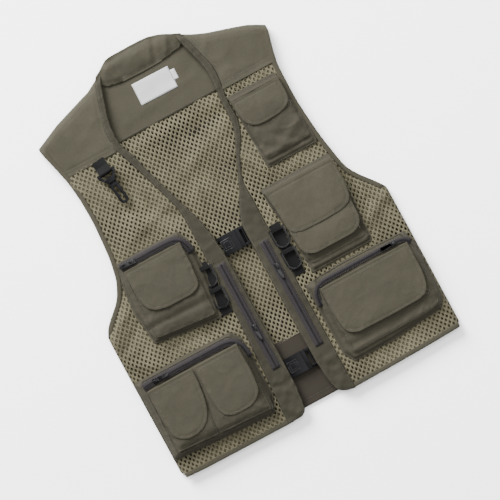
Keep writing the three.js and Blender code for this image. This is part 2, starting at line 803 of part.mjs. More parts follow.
function ringTape() {
  const half = ringTapeWidth / 2;
  const foldHalf = ringBar / 2 + ringTurnRoom;
  const foldTop = ringLift + foldHalf + clothThickness / 2;
  const tape = block(-half, half, -ringPitch - ringHeight - tapeEnd, tapeEnd, 0, clothThickness / 2);
  const folds = [0, -ringPitch].map((y) => block(-half, half, y - foldHalf - 1, y + foldHalf + 1, 0, foldTop));
  const tunnels = [0, -ringPitch].map((y) => block(-ringTapeWidth, ringTapeWidth, y - foldHalf, y + foldHalf,
    clothThickness / 4, ringLift + foldHalf));
  return cut(joined(tape, ...folds), ...tunnels);
}

function addRings(sideName, side) {
  const rings = new THREE.Group();
  rings.position.set(side * ringTapeCentre, collarY - upperRingDrop, frontTop + seamGap);
  addMesh(rings, `${sideName}_ring_tape`, ringTape(), webbing());
  for (const [place, y] of [['upper', 0], ['lower', -ringPitch]]) {
    const ring = addMesh(rings, `${sideName}_${place}_d_ring`, dRing(), plastic());
    ring.position.set(0, y, ringLift);
  }
  vest.add(rings);
}

// ---- snap hook on the right chest --------------------------------------------------------------------

const hookBarX = -144; // where the hook's strap hangs, from the vest centre
const hookBarDrop = 177; // collar top down to the bar that the strap is folded round
const hookAxisLift = Math.hypot(hookWidth, hookThickness) / 2 + seamGap * 2; // swivel clears the front
const hookStrapRun = 26; // bar up to the far end of the strap

function hookStrap() {
  const outer = hookLoopInner + strapThickness;
  const shape = new THREE.Shape();
  shape.moveTo(hookStrapRun, -hookAxisLift + seamGap);
  shape.lineTo(hookStrapRun, -hookAxisLift + seamGap + strapThickness);
  shape.lineTo(hookStrapRun / 2, -hookAxisLift + seamGap + strapThickness);
  shape.lineTo(outer, outer * 0.3);
  shape.absarc(0, 0, outer, Math.PI * 0.15, Math.PI * 1.5);
  shape.lineTo(outer * 0.6, -outer);
  shape.lineTo(hookStrapRun / 2 - strapThickness, -hookAxisLift + seamGap);
  shape.closePath();
  const eye = new THREE.Path();
  eye.absarc(0, 0, hookLoopInner, 0, Math.PI * 2);
  shape.holes.push(eye);
  return plateAcross(shape, hookStrapWidth, 6);
}

// The frame that hangs on the strap, with a bored foot for the hook's swivel pin.
const frameFoot = 8; // length of the bored foot
const footHalf = 7;
const pinHead = 3.4;
const pinHeadLength = 1.6;

function hookFrame() {
  const bar = hookBar / 2;
  const footTop = -hookFrameLength + frameFoot;
  const shape = new THREE.Shape();
  shape.moveTo(-hookFrameHalf, bar);
  shape.lineTo(-hookFrameHalf, -hookLoopInner * 2);
  shape.lineTo(-footHalf, -hookFrameLength);
  shape.lineTo(footHalf, -hookFrameLength);
  shape.lineTo(hookFrameHalf, -hookLoopInner * 2);
  shape.lineTo(hookFrameHalf, bar);
  shape.closePath();
  const windowHalf = hookStrapWidth / 2 + seamGap * 2;
  const hole = new THREE.Path();
  hole.moveTo(-windowHalf, -bar).lineTo(windowHalf, -bar);
  hole.lineTo(windowHalf, -hookLoopInner * 2).lineTo(footHalf, footTop);
  hole.lineTo(-footHalf, footTop).lineTo(-windowHalf, -hookLoopInner * 2).closePath();
  shape.holes.push(hole);
  const frame = cut(plate(shape, -footHalf, 2 * footHalf), ...frameSlab());
  const bore = new THREE.CylinderGeometry(
    hookSwivelRadius + swivelClearance, hookSwivelRadius + swivelClearance, frameFoot * 3, 16);
  return cut(frame, bore.translate(0, -hookFrameLength, 0));
}

// What is taken off above and below so that the frame is a bar's thickness and only its foot is thick.
function frameSlab() {
  const bar = hookBar / 2;
  const footTop = -hookFrameLength + frameFoot;
  return [
    block(-far, far, footTop, far, bar, far),
    block(-far, far, footTop, far, -far, -bar),
    block(-far, far, -far, far, footHalf * 0.7, far),
    block(-far, far, -far, far, -far, -footHalf * 0.7),
  ];
}

const hookNeck = 4; // solid end of the hook below the frame
const hookSlotHalf = 3.6; // half the width inside the hook
const gateStart = 9; // hook's shoulder down to the gate
const gateLength = 22;
const gateGap = 0.5;

function hookBody() {
  const top = -hookFrameLength - seamGap * 2;
  const half = hookWidth / 2;
  const bottom = top - hookLength;
  const outline = new THREE.Shape();
  outline.moveTo(-half * 0.6, top);
  outline.lineTo(half * 0.6, top);
  outline.lineTo(half, top - hookNeck);
  outline.lineTo(half, bottom + half);
  outline.absarc(0, bottom + half, half, 0, -Math.PI, true);
  outline.lineTo(-half, top - hookNeck);
  outline.closePath();
  const slot = new THREE.Path();
  slot.moveTo(-hookSlotHalf, top - hookNeck - hookSlotHalf);
  slot.lineTo(-hookSlotHalf, bottom + half);
  slot.absarc(0, bottom + half, hookSlotHalf, Math.PI, Math.PI * 2);
  slot.lineTo(hookSlotHalf, top - hookNeck - hookSlotHalf);
  slot.closePath();
  outline.holes.push(slot);
  const gateTop = top - gateStart;
  const gap = block(hookSlotHalf - hookStem / 2, hookWidth, gateTop - gateLength, gateTop,
    -hookThickness, hookThickness);
  const hook = cut(plate(outline, -hookThickness / 2, hookThickness, 8), gap);
  const pin = new THREE.CylinderGeometry(
    hookSwivelRadius, hookSwivelRadius, frameFoot + pinHeadLength + seamGap * 3, 16);
  const head = new THREE.CylinderGeometry(pinHead, pinHead, pinHeadLength, 16);
  const footTop = -hookFrameLength + frameFoot;
  const headY = footTop + seamGap + pinHeadLength / 2;
  return joined(hook, pin.translate(0, (top - 0.5 + headY) / 2, 0), head.translate(0, headY, 0));
}

function hookGate() {
  const top = -hookFrameLength - seamGap * 2 - gateStart - gateGap;
  const half = hookWidth / 2;
  const root = (half - hookSlotHalf) / 2;
  const centre = hookSlotHalf + root;
  const shape = new THREE.Shape();
  shape.moveTo(hookSlotHalf, top - root);
  shape.absarc(centre, top - root, root, Math.PI, 0, true);
  shape.lineTo(half, top - gateLength + 2 * gateGap);
  shape.lineTo(hookSlotHalf, top - gateLength + 2 * gateGap);
  shape.closePath();
  return plate(shape, -hookThickness / 2, hookThickness, 6);
}

function addSnapHook() {
  const hook = new THREE.Group();
  hook.position.set(hookBarX, collarY - hookBarDrop, frontTop + hookAxisLift);
  hook.rotation.z = hookLean;
  addMesh(hook, 'snap_hook_strap', hookStrap(), webbing());
  addMesh(hook, 'snap_hook_frame', hookFrame(), plastic());
  addMesh(hook, 'snap_hook_body', hookBody(), plastic());
  addMesh(hook, 'snap_hook_gate', hookGate(), plastic());
  vest.add(hook);
}

// ---- the whole vest -----------------------------------------------------------------------------------

addBack();
addCollar();
addFront(-1, 'right');
addFront(1, 'left');
addPocket('right_chest_pocket', rightChest, true);
addPocket('right_lower_pocket', rightLower, true);
addTwinPocket();
addPocket('left_upper_pocket', leftUpper, false);
addPocket('left_middle_pocket', leftMiddle, false);
addPocket('left_lower_pocket', leftLower, true);
addFlaps();
addZips();
addBuckle('upper', collarY - upperBuckleDrop);
addBuckle('lower', hemY + lowerBuckleRise);
addRings('right', -1);
addRings('left', 1);
addSnapHook();

export default vest;
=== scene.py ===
"""A mesh fishing vest lying on its back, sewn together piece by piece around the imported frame."""
import math

import bmesh
import bpy
import numpy as np
from mathutils import Matrix, Vector, noise
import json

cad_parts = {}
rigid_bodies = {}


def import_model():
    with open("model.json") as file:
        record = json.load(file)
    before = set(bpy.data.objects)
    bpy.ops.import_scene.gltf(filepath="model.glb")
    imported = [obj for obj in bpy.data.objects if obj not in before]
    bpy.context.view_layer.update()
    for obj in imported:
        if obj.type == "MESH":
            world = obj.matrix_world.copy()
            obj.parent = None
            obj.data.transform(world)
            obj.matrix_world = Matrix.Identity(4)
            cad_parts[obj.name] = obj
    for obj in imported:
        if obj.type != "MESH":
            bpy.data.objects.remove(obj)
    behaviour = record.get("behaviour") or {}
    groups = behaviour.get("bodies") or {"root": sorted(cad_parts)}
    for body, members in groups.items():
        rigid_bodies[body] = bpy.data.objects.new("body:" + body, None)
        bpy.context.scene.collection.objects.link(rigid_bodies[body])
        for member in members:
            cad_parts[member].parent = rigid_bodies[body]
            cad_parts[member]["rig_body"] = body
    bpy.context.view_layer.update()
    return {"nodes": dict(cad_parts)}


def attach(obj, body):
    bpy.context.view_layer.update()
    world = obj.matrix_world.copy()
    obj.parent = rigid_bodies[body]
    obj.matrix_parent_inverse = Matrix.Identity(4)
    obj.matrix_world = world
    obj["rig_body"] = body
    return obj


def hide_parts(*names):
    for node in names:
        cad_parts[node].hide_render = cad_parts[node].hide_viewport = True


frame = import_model()

# ---- Camera, floor and lights --------------------------------------------------------------------
# The vest lies on a pale floor and is seen from straight above with a long lens, rolled so that its
# collar points up and to the left. The light is soft and comes mostly from the collar end.

MM = 0.001
VIEW_CENTRE = Vector((14.9, -57.6, 16)) * MM
VIEW_WIDTH = 0.8835
VIEW_DISTANCE = 3.4
VIEW_ROLL = math.radians(-28.5)
FLOOR_HALF = 6
FLOOR_DEPTH = 0.002  # it lies this far under the cloth, so that the two never share a plane
FLOOR_WHITE = 0.94
SKY_STRENGTH = 1.15

camera_data = bpy.data.cameras.new("camera")
camera_data.lens = camera_data.sensor_width * VIEW_DISTANCE / VIEW_WIDTH
camera = bpy.data.objects.new("camera", camera_data)
camera.location = VIEW_CENTRE + Vector((0, 0, VIEW_DISTANCE))
camera.rotation_euler = (0, 0, VIEW_ROLL)
bpy.context.scene.collection.objects.link(camera)
bpy.context.scene.camera = camera

floor_shape = bmesh.new()
bmesh.ops.create_grid(floor_shape, x_segments=2, y_segments=2, size=FLOOR_HALF)
floor_mesh = bpy.data.meshes.new("floor")
floor_shape.to_mesh(floor_mesh)
floor_shape.free()
floor = bpy.data.objects.new("floor", floor_mesh)
floor.location.z = -FLOOR_DEPTH
bpy.context.scene.collection.objects.link(floor)
floor_paper = bpy.data.materials.new("floor_paper")
floor_paper.use_nodes = True
paper = floor_paper.node_tree.nodes["Principled BSDF"].inputs
paper["Base Color"].default_value = (FLOOR_WHITE, FLOOR_WHITE, FLOOR_WHITE, 1)
paper["Roughness"].default_value = 0.9
floor_mesh.materials.append(floor_paper)

studio = bpy.data.worlds.new("studio")
studio.use_nodes = True
sky = studio.node_tree.nodes["Background"].inputs
sky["Color"].default_value = (1, 1, 1, 1)
sky["Strength"].default_value = SKY_STRENGTH
bpy.context.scene.world = studio


def hang_softbox(name, place, size, power):
    lamp = bpy.data.lights.new(name, "AREA")
    lamp.size = size
    lamp.energy = power
    softbox = bpy.data.objects.new(name, lamp)
    softbox.location = place
    softbox.rotation_euler = (-Vector(place)).to_track_quat("-Z", "Y").to_euler()
    bpy.context.scene.collection.objects.link(softbox)


hang_softbox("key", place=(-1.2, 4.7, 3.0), size=3.2, power=1980)
hang_softbox("fill", place=(0.5, 0.3, 2.6), size=1.6, power=70)

# ---- Back net ------------------------------------------------------------------------------------
# The back is a knitted net with staggered oval holes, doubled: one layer faces out, one faces the
# wearer, and a thin near-black sheet between them is painted shade for the dark seen through the holes.
# All three are caught in the side seams.

NET_PITCH = 9.5  # from one hole to the next in a row
NET_ROW = 5.7  # from one row of holes to the next
YARN_REACH = 0.6  # how far the yarn of a loop reaches into its diamond
HOLE_HALF = (2.95, 4.6)  # half width and height of a hole before its corners are rounded
HOLE_STRETCH = 1.2  # the most that a small piece of a loop at the net's edge is drawn out
COARSE_HOLE = 0.86  # how wide the holes of the hidden layers are beside those of the layer on show
HOLE_DIP = 0.8  # the yarn rounds off by this much around a hole
KHAKI = (0.0745, 0.0685, 0.0435)
KHAKI_DEEP = (0.028, 0.0255, 0.0155)
# near-black colour of the sheet under the back net: painted shade for the shadowed inside of the vest
SHADE_SHEET_BLACK = (0.0025, 0.002, 0.0015)
NECK_TO_FRAME = (0.8, 2.0)  # the pattern is drawn from the neck, and lies here in the frame
SHARP_TURN = 0.35  # the sine of the least turn that counts as a corner of an outline


def pattern(*points):
    return [(x + NECK_TO_FRAME[0], y + NECK_TO_FRAME[1]) for x, y in points]


ARMHOLE_RIGHT = pattern((-230, 275), (-227, 260), (-218, 226), (-211, 196), (-207, 160), (-206, 118),
                        (-208, 80), (-211, 44), (-218, 8), (-223, -4), (-231, -20), (-240, -32), (-250, -41),
                        (-260, -50), (-272, -62), (-281, -79))
ARMHOLE_LEFT = pattern((228, 278), (227, 266), (220, 240), (213, 208), (212, 140), (214, 110), (219, 60),
                       (226, 20), (230, 0), (233, -12), (240, -24), (250, -38), (268, -60), (280, -77))
SIDE_RIGHT = pattern((-282, -120), (-282, -220), (-281.5, -300), (-281, -349), (-276, -357))
SIDE_LEFT = pattern((280.4, -140), (280.4, -230), (280, -300), (279, -346), (275, -352))
YOKE_SEAM = 221
BAND_SEAM = -228


def area_of(outline):
    x, y = np.array(outline, float).T
    return abs(np.dot(x, np.roll(y, -1)) - np.dot(y, np.roll(x, -1))) / 2


def lie_in(points, outline):
    """For each point: is it inside the outline, how far off is the outline, and where is it nearest."""
    points = np.array(points, float).reshape(-1, 2)
    start = np.array(outline, float)
    run = np.roll(start, -1, axis=0) - start
    along = ((points[:, None] - start) * run).sum(2) / (run ** 2).sum(1)
    feet = start + np.clip(along, 0, 1)[..., None] * run
    gaps = np.linalg.norm(points[:, None] - feet, axis=2)
    nearest = gaps.argmin(1)
    x, y = points[:, :1], points[:, 1:]
    above = (start[:, 1] > y) != (np.roll(start[:, 1], -1) > y)
    rise = np.where(run[:, 1] == 0, 1, run[:, 1])
    crossed = above & (x < run[:, 0] * (y - start[:, 1]) / rise + start[:, 0])
    rows = np.arange(len(points))
    return crossed.sum(1) % 2 == 1, gaps[rows, nearest], feet[rows, nearest]


def trim_to(bm, outline):
    """Cuts a flat grid back to the outline: loose squares go, and the ragged edge is drawn onto it."""
    verts = list(bm.verts)
    inside, _, nearest = lie_in([v.co.xy for v in verts], outline)
    keep = {v for v, kept in zip(verts, inside) if kept}
    for v, place in zip(verts, nearest):
        if v not in keep:
            v.co.xy = place
    loose = [f for f in bm.faces if not any(v in keep for v in f.verts)]
    bmesh.ops.delete(bm, geom=loose, context="FACES")
    edge = [v for v in bm.verts if v.is_boundary]
    corners = np.array(outline, float)
    before, after = corners - np.roll(corners, 1, axis=0), np.roll(corners, -1, axis=0) - corners
    sine = before[:, 0] * after[:, 1] - before[:, 1] * after[:, 0]
    turn = np.abs(sine) / (np.linalg.norm(before, axis=1) * np.linalg.norm(after, axis=1))
    for corner in corners[turn > SHARP_TURN]:
        near = min(edge, key=lambda v: (v.co.x - corner[0]) ** 2 + (v.co.y - corner[1]) ** 2)
        near.co.xy = corner


def finish_piece(bm, name, finish, body="root"):
    """Turns a mesh drawn in millimetres into a piece of the vest, in metres, on its body."""
    bmesh.ops.scale(bm, vec=(MM, MM, MM), verts=bm.verts)
    mesh = bpy.data.meshes.new(name)
    bm.to_mesh(mesh)
    bm.free()
    mesh.shade_smooth()
    piece = bpy.data.objects.new(name, mesh)
    bpy.context.scene.collection.objects.link(piece)
    mesh.materials.append(finish)
    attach(piece, body)
    return piece


def thicken(piece, thickness):
    wall = piece.modifiers.new("wall", "SOLIDIFY")
    wall.thickness = thickness * MM
    wall.offset = 0


def soften(piece):
    rounding = piece.modifiers.new("rounding", "SUBSURF")
    rounding.levels = rounding.render_levels = 1


def ripple(x, y, seed, size, amount):
    return amount * noise.noise(Vector((x / size, y / size, seed)))


def crease(x, y, start, end, width, depth):
    """A soft fold from start to end: a ridge where depth is positive, a valley where it isn't."""
    ax, ay = start
    dx, dy = end[0] - ax, end[1] - ay
    length = math.hypot(dx, dy)
    along = ((x - ax) * dx + (y - ay) * dy) / length
    off = ((x - ax) * dy - (y - ay) * dx) / length
    past = max(0, -along, along - length)
    return depth * math.exp(-(off / width) ** 2 - (past / (2 * width)) ** 2)


def folded(x, y, folds):
    """All the folds of a panel together. Each is its start, its end, its width and its depth."""
    return sum(crease(x, y, *fold) for fold in folds)


def cut_size(outline, gusset=0, flat=None):
    """Works out the size the sheet was cut to from its outline, and a gusset all round where it has one; the
    result is not kept.
    """
    points = np.array(outline, float)
    width, length = flat or np.ptp(points, axis=0) + 2 * gusset
    edge = np.linalg.norm(points - np.roll(points, 1, axis=0), axis=1).sum()
    area = min(area_of(outline) + edge * gusset, width * length)


def adder(tree):
    """A short way to add a node with its inputs set or joined. It gives back the node's outputs."""

    def add(kind, inputs=(), **settings):
        made = tree.nodes.new("ShaderNode" + kind)
        for key, value in settings.items():
            setattr(made, key, value)
        for key, value in dict(inputs).items():
            if isinstance(value, bpy.types.NodeSocket):
                tree.links.new(value, made.inputs[key])
            else:
                made.inputs[key].default_value = value
        return made.outputs

    return add


def shared_effect(name, draw, outputs, **inputs):
    """A node group that takes a place and these numbers, and puts out what draw makes of them."""
    group = bpy.data.node_groups.new(name, "ShaderNodeTree")
    group.interface.new_socket("Place", in_out="INPUT", socket_type="NodeSocketVector")
    for label, value in inputs.items():
        number = group.interface.new_socket(label, in_out="INPUT", socket_type="NodeSocketFloat")
        number.default_value = value
    for label in outputs:
        group.interface.new_socket(label, in_out="OUTPUT", socket_type="NodeSocketFloat")
    given, out = group.nodes.new("NodeGroupInput"), group.nodes.new("NodeGroupOutput")
    for label, value in zip(outputs, draw(adder(group), given.outputs)):
        group.links.new(value, out.inputs[label])
    return group


def draw_dye(add, given):
    """Uneven dye and soiling: slow patches with finer mottling over them."""
    slow = add("TexNoise", {"Vector": given["Place"], "Scale": given["Patch"], "Detail": 3.0})
    fine = add("TexNoise", {"Vector": given["Place"], "Scale": given["Mottle"], "Detail": 2.0})
    return [add("Mix", {"Factor": 0.4, "A": slow[0], "B": fine[0]})[0]]


def draw_yarn(add, given):
    """Knitted yarn seen close: short fibres that run with the loops."""
    stretched = add("Mapping", {"Vector": given["Place"], "Scale": (1.0, 0.45, 1.0)})
    fibre = add("TexNoise", {"Vector": stretched[0], "Scale": given["Fibre"], "Detail": 3.0})[0]
    return fibre, fibre


uneven_dye = shared_effect("uneven_dye", draw_dye, ["Shade"], Patch=18.0, Mottle=260.0)
knit_yarn = shared_effect("knit_yarn", draw_yarn, ["Shade", "Height"], Fibre=900.0)


def use(add, group, **values):
    """Places a shared effect in a material, on the piece's own coordinates."""
    return add("Group", {"Place": add("TexCoord")["Object"], **values}, node_tree=group)


def new_finish(name, roughness, **sockets):
    """A material with its shader's constant values set on the shader's own sockets."""
    finish = bpy.data.materials.new(name)
    finish.use_nodes = True
    shader = finish.node_tree.nodes["Principled BSDF"]
    shader.inputs["Roughness"].default_value = roughness
    for label, value in sockets.items():
        shader.inputs[label.replace("_", " ")].default_value = value
    return finish, adder(finish.node_tree), shader


MIX_COLOURS = (6, 7, 2)  # where a colour mix keeps its first, its second and its result


def tint(add, low, high, factor):
    """A colour between two shades of a dye."""
    first, second, result = MIX_COLOURS
    return add("Mix", {"Factor": factor, first: (*low, 1), second: (*high, 1)}, data_type="RGBA")[result]


def feed(shader, **sockets):
    for label, value in sockets.items():
        shader.id_data.links.new(value, shader.inputs[label.replace("_", " ")])


def dye_net(name, low, high, gloss=0.04):
    finish, add, shader = new_finish(name, 0.72, Specular_IOR_Level=gloss)
    yarn, dye = use(add, knit_yarn), use(add, uneven_dye)
    both = add("Math", {0: yarn["Shade"], 1: dye["Shade"]}, operation="MULTIPLY")
    spread = add("MapRange", {"Value": both[0], "From Min": 0.12, "From Max": 0.36})
    bump = add("Bump", {"Height": yarn["Height"], "Strength": 0.5, "Distance": 0.0004})
    feed(shader, Base_Color=tint(add, low, high, spread[0]), Normal=bump[0])
    return finish


khaki_net = dye_net("khaki_net", KHAKI_DEEP, KHAKI, gloss=0.09)


def knit_net(name, outline, height, finish, facing=1, turn=0.0, coarse=False):
    """A net cut to the outline: each diamond stands for four knitted loops round one oval hole."""
    low, high = np.min(outline, axis=0), np.max(outline, axis=0)
    reach = int(max(high - low) / NET_PITCH) + 6
    stretch = Matrix(((NET_PITCH / 2, -NET_PITCH / 2, 0, 0), (NET_ROW, NET_ROW, 0, 0),
                      (0, 0, 1, 0), (0, 0, 0, 1)))
    place = Matrix.Translation((*((low + high) / 2), 0)) @ Matrix.Rotation(turn, 4, "Z") @ stretch
    bm = bmesh.new()
    bmesh.ops.create_grid(bm, x_segments=2 * reach, y_segments=2 * reach, size=reach, matrix=place)
    trim_to(bm, outline)
    loops = list(bm.faces)
    shares = [min(1, f.calc_area() / (NET_PITCH * NET_ROW)) ** 0.5 for f in loops]
    bmesh.ops.inset_individual(bm, faces=loops, thickness=YARN_REACH, use_even_offset=False)
    hole = COARSE_HOLE if coarse else 1
    for loop, share in zip(loops, shares):
        centre = loop.calc_center_median()
        for v in loop.verts:
            off = v.co - centre
            sideways = abs(off.x) * NET_ROW > abs(off.y) * NET_PITCH / 2
            half = hole * HOLE_HALF[0 if sideways else 1] * share / max(off.length, 0.01)
            v.co = centre + off * min(half, HOLE_STRETCH)
    rims = {v for loop in loops for v in loop.verts}
    bmesh.ops.delete(bm, geom=loops, context="FACES_ONLY")
    for v in bm.verts:
        v.co.z = height(v.co.x, v.co.y) - (facing * HOLE_DIP if v in rims else 0)
    if facing < 0:
        bmesh.ops.reverse_faces(bm, faces=bm.faces)
    piece = finish_piece(bm, name, finish)
    if not coarse:
        soften(piece)
    return piece


def sheet_of(name, outline, height, finish, cell=4.0, wall=1.6, body="root"):
    """A panel cut to the outline. height gives its middle from the place and the way in from its edge."""
    low, high = np.min(outline, axis=0) - cell, np.max(outline, axis=0) + cell
    count = np.ceil((high - low) / cell).astype(int)
    span = Matrix.Diagonal((*(count * cell / 2), 1, 1))
    bm = bmesh.new()
    bmesh.ops.create_grid(bm, x_segments=int(count[0]), y_segments=int(count[1]), size=1,
                          matrix=Matrix.Translation((*((low + high) / 2), 0)) @ span)
    trim_to(bm, outline)
    ways_in = lie_in([v.co.xy for v in bm.verts], outline)[1]
    for v, way_in in zip(bm.verts, ways_in):
        v.co.z = height(v.co.x, v.co.y, way_in)
    piece = finish_piece(bm, name, finish, body)
    thicken(piece, wall)
    return piece


BACK_NET = (ARMHOLE_RIGHT[3:] + SIDE_RIGHT[:2] + [(-281, BAND_SEAM), (281, BAND_SEAM)] + SIDE_LEFT[1::-1]
            + ARMHOLE_LEFT[:2:-1] + [(213, YOKE_SEAM), (-216, YOKE_SEAM)])
BACK_FOLDS = [((-60, 196), (95, 202), 11, 2.4), ((-20, 118), (70, 152), 12, 2.4),
              ((0, 170), (90, 180), 10, -1.2), ((-30, 40), (-5, 120), 12, 1.8),
              ((-15, -80), (12, -190), 9, 1.6)]


def back_outside(x, y):
    return 0.3 + max(0, ripple(x, y, 1, 70, 1.0))


def back_inside(x, y):
    folds = folded(x, y, BACK_FOLDS)
    return 3.6 + folds + max(-0.7, ripple(x, y, 2, 52, 3.0)) + ripple(x, y, 5, 22, 0.5)


outer_net = knit_net("back_net_outside", BACK_NET, back_outside, khaki_net, facing=-1)
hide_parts("back_mesh_panel")
cut_size(BACK_NET)

# The near-black sheet between the net layers is painted shade, seen through the holes.
shade_sheet_finish, add, shader = new_finish("shade_sheet_tricot", 0.95, Specular_IOR_Level=0.08)
dye = use(add, uneven_dye, Patch=40.0)
feed(shader, Base_Color=tint(add, SHADE_SHEET_BLACK, (0.005, 0.0042, 0.003), dye["Shade"]))
shade_sheet = sheet_of("back_shade_sheet", BACK_NET, lambda x, y, d: 1.1 + max(0, ripple(x, y, 1, 70, 1.0)),
                  shade_sheet_finish, cell=9, wall=0.3)
cut_size(BACK_NET)

khaki_under = dye_net("khaki_net_shaded", (0.012, 0.010, 0.0055), (0.034, 0.028, 0.0155))
under_net = knit_net("back_net_under", BACK_NET, lambda x, y: back_inside(x, y) - 1.3, khaki_under, turn=0.05,
                     coarse=True)
cut_size(BACK_NET)
inner_net = knit_net("back_net_inside", BACK_NET, back_inside, khaki_net)
cut_size(BACK_NET)

# ---- Back yoke and lower band --------------------------------------------------------------------
# The shoulders and the hem of the back are closely woven twill, doubled and topstitched along the
# seam with the net. The lower band is folded up along the hem.

OLIVE = (0.0298, 0.0276, 0.0189)
OLIVE_DEEP = (0.0192, 0.0178, 0.0123)
SHOULDER_RIGHT = pattern((-67, 344), (-80, 337), (-105, 323), (-120, 318), (-150, 308), (-180, 298),
                         (-200, 289), (-230, 275))
SHOULDER_LEFT = pattern((72, 342), (86, 336), (104, 326), (130, 315), (160, 306), (180, 300), (200, 293),
                        (216, 285), (228, 278))
BACK_NECK = pattern((-72, 330), (-69, 317), (-40, 312), (0, 310), (30, 311), (50, 314), (76, 319), (80, 330))
BACK_HEM = -350


def draw_twill(add, given):
    """Fine diagonal ribs crossed by the weft, with odd slubs: what a close twill weave looks like."""
    rib = add("TexWave", {"Vector": given["Place"], "Scale": given["Rib"], "Distortion": 1.2},
              bands_direction="DIAGONAL")
    weft = add("TexNoise", {"Vector": given["Place"], "Scale": 1500.0, "Detail": 1.0})
    both = add("Mix", {"Factor": 0.45, "A": rib[1], "B": weft[0]})[0]
    return both, both


twill_weave = shared_effect("twill_weave", draw_twill, ["Shade", "Height"], Rib=420.0)


def dye_twill(name, low, high):
    finish, add, shader = new_finish(name, 0.8, Specular_IOR_Level=0.07, Sheen_Weight=0.01,
                                     Sheen_Roughness=0.5)
    weave, dye = use(add, twill_weave), use(add, uneven_dye, Patch=9.0)
    both = add("Mix", {"Factor": 0.3, "A": dye["Shade"], "B": weave["Shade"]})
    spread = add("MapRange", {"Value": both[0], "From Min": 0.3, "From Max": 0.7})
    rough = add("MapRange", {"Value": weave["Shade"], "To Min": 0.86, "To Max": 0.68})
    bump = add("Bump", {"Height": weave["Height"], "Strength": 0.35, "Distance": 0.00025})
    feed(shader, Base_Color=tint(add, low, high, spread[0]), Roughness=rough[0], Normal=bump[0])
    return finish


olive_twill = dye_twill("olive_twill", OLIVE_DEEP, OLIVE)
dark_twill = dye_twill("dark_twill", (0.0112, 0.0095, 0.0071), (0.0172, 0.0147, 0.0110))

BACK_YOKE = (SHOULDER_RIGHT[::-1] + BACK_NECK + SHOULDER_LEFT + ARMHOLE_LEFT[1:3] + [(215, YOKE_SEAM - 2)]
             + [(-217, YOKE_SEAM - 2)] + ARMHOLE_RIGHT[2:0:-1])


def yoke_inside(x, y, way_in):
    return (3.2 + ripple(x, y, 7, 55, 2.0) + ripple(x, y, 7.5, 19, 0.6)
            + crease(x, y, (-60, 245), (70, 262), 9, 0.9))


back_yoke = sheet_of("back_yoke_cloth", BACK_YOKE, yoke_inside, olive_twill, wall=2.0)
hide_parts("back_yoke")
cut_size(BACK_YOKE)

BACK_BAND = [(-281, BAND_SEAM + 3), (-281, -346), (-276, BACK_HEM), (276, BACK_HEM), (281, -344),
             (281, BAND_SEAM + 3)]


def band_inside(x, y, way_in):
    return 2.6 + ripple(x, y, 8, 60, 1.2) - crease(x, y, (-270, -341), (270, -341), 1.6, 0.9)


back_band = sheet_of("back_band_cloth", BACK_BAND, band_inside, dark_twill, wall=2.4)
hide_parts("back_lower_band")
cut_size(BACK_BAND)

STITCH_PITCH = 3.4
STITCH_HALF = (1.15, 0.42, 0.34)  # half length, width and thickness of one stitch
THREAD = (0.026, 0.0225, 0.0145)
thread_finish, add, shader = new_finish("sewing_thread", 0.55)
dye = use(add, uneven_dye, Patch=120.0)
feed(shader, Base_Color=tint(add, (0.012, 0.0104, 0.0068), THREAD, dye["Shade"]))


def one_bead(shape, **parts):
    """The mesh of one stitch or tooth, to be set down over and over."""
    single = bpy.data.meshes.new("bead")
    bead = bmesh.new()
    shape(bead, radius=1, **parts)
    bead.to_mesh(single)
    bead.free()
    return single


def set_down(bm, single, place, along, across, up):
    """Adds one bead to the mesh, drawn out along three directions."""
    set_in = Matrix.Translation(place) @ Matrix((along, across, up)).transposed().to_4x4()
    single.transform(set_in)
    bm.from_mesh(single)
    single.transform(set_in.inverted())


def walk(stops):
    """How far along a line each of its stops is."""
    return np.concatenate(([0], np.linalg.norm(np.diff(stops, axis=0), axis=1).cumsum()))


def topstitch(name, lines, height, outline, body="root", lift=0.9):
    """Rows of single stitches lying on a panel, half sunk in the cloth."""
    bm = bmesh.new()
    single = one_bead(bmesh.ops.create_icosphere, subdivisions=1)
    for line in lines:
        stops = np.array(line, float)
        walked = walk(stops)
        marks = np.arange(STITCH_PITCH / 2, walked[-1], STITCH_PITCH)
        places = np.column_stack([np.interp(marks, walked, stops[:, k]) for k in (0, 1)])
        if not len(places):
            continue
        runs = np.clip(walked.searchsorted(marks) - 1, 0, len(stops) - 2)
        ways_in = lie_in(places, outline)[1]
        for place, run, way_in in zip(places, runs, ways_in):
            step = stops[run + 1] - stops[run]
            step = step / np.linalg.norm(step)
            here = height(*place, way_in)
            ahead = height(*(place + step), way_in)
            along = Vector((*step, ahead - here)).normalized()
            across = Vector((-step[1], step[0], 0))
            up = along.cross(across) * -1
            set_down(bm, single, (*place, here + lift),
                     along * STITCH_HALF[0], across * STITCH_HALF[1], up * STITCH_HALF[2])
    bpy.data.meshes.remove(single)
    bmesh.ops.recalc_face_normals(bm, faces=bm.faces)
    return finish_piece(bm, name, thread_finish, body)


def shifted(line, amount):
    """The same line moved sideways, to its left as it is walked."""
    stops = np.array(line, float)
    runs = np.gradient(stops, axis=0)
    runs = runs / np.linalg.norm(runs, axis=1)[:, None]
    return stops + amount * np.column_stack([-runs[:, 1], runs[:, 0]])


topstitch("back_yoke_stitching", [[(-210, YOKE_SEAM + 2), (210, YOKE_SEAM + 2)], shifted(BACK_NECK, -5)],
          yoke_inside, BACK_YOKE, lift=1.05)
topstitch("back_band_stitching",
          [[(-276, BAND_SEAM - 1), (276, BAND_SEAM - 1)], [(-276, -338), (276, -338)]],
          band_inside, BACK_BAND, lift=1.25)

# ---- Collar --------------------------------------------------------------------------------------
# A low stand collar of doubled twill. It is sewn to the neck seam, stands up behind the neck and rolls
# over a little, so its inside shows puckered above the seam.

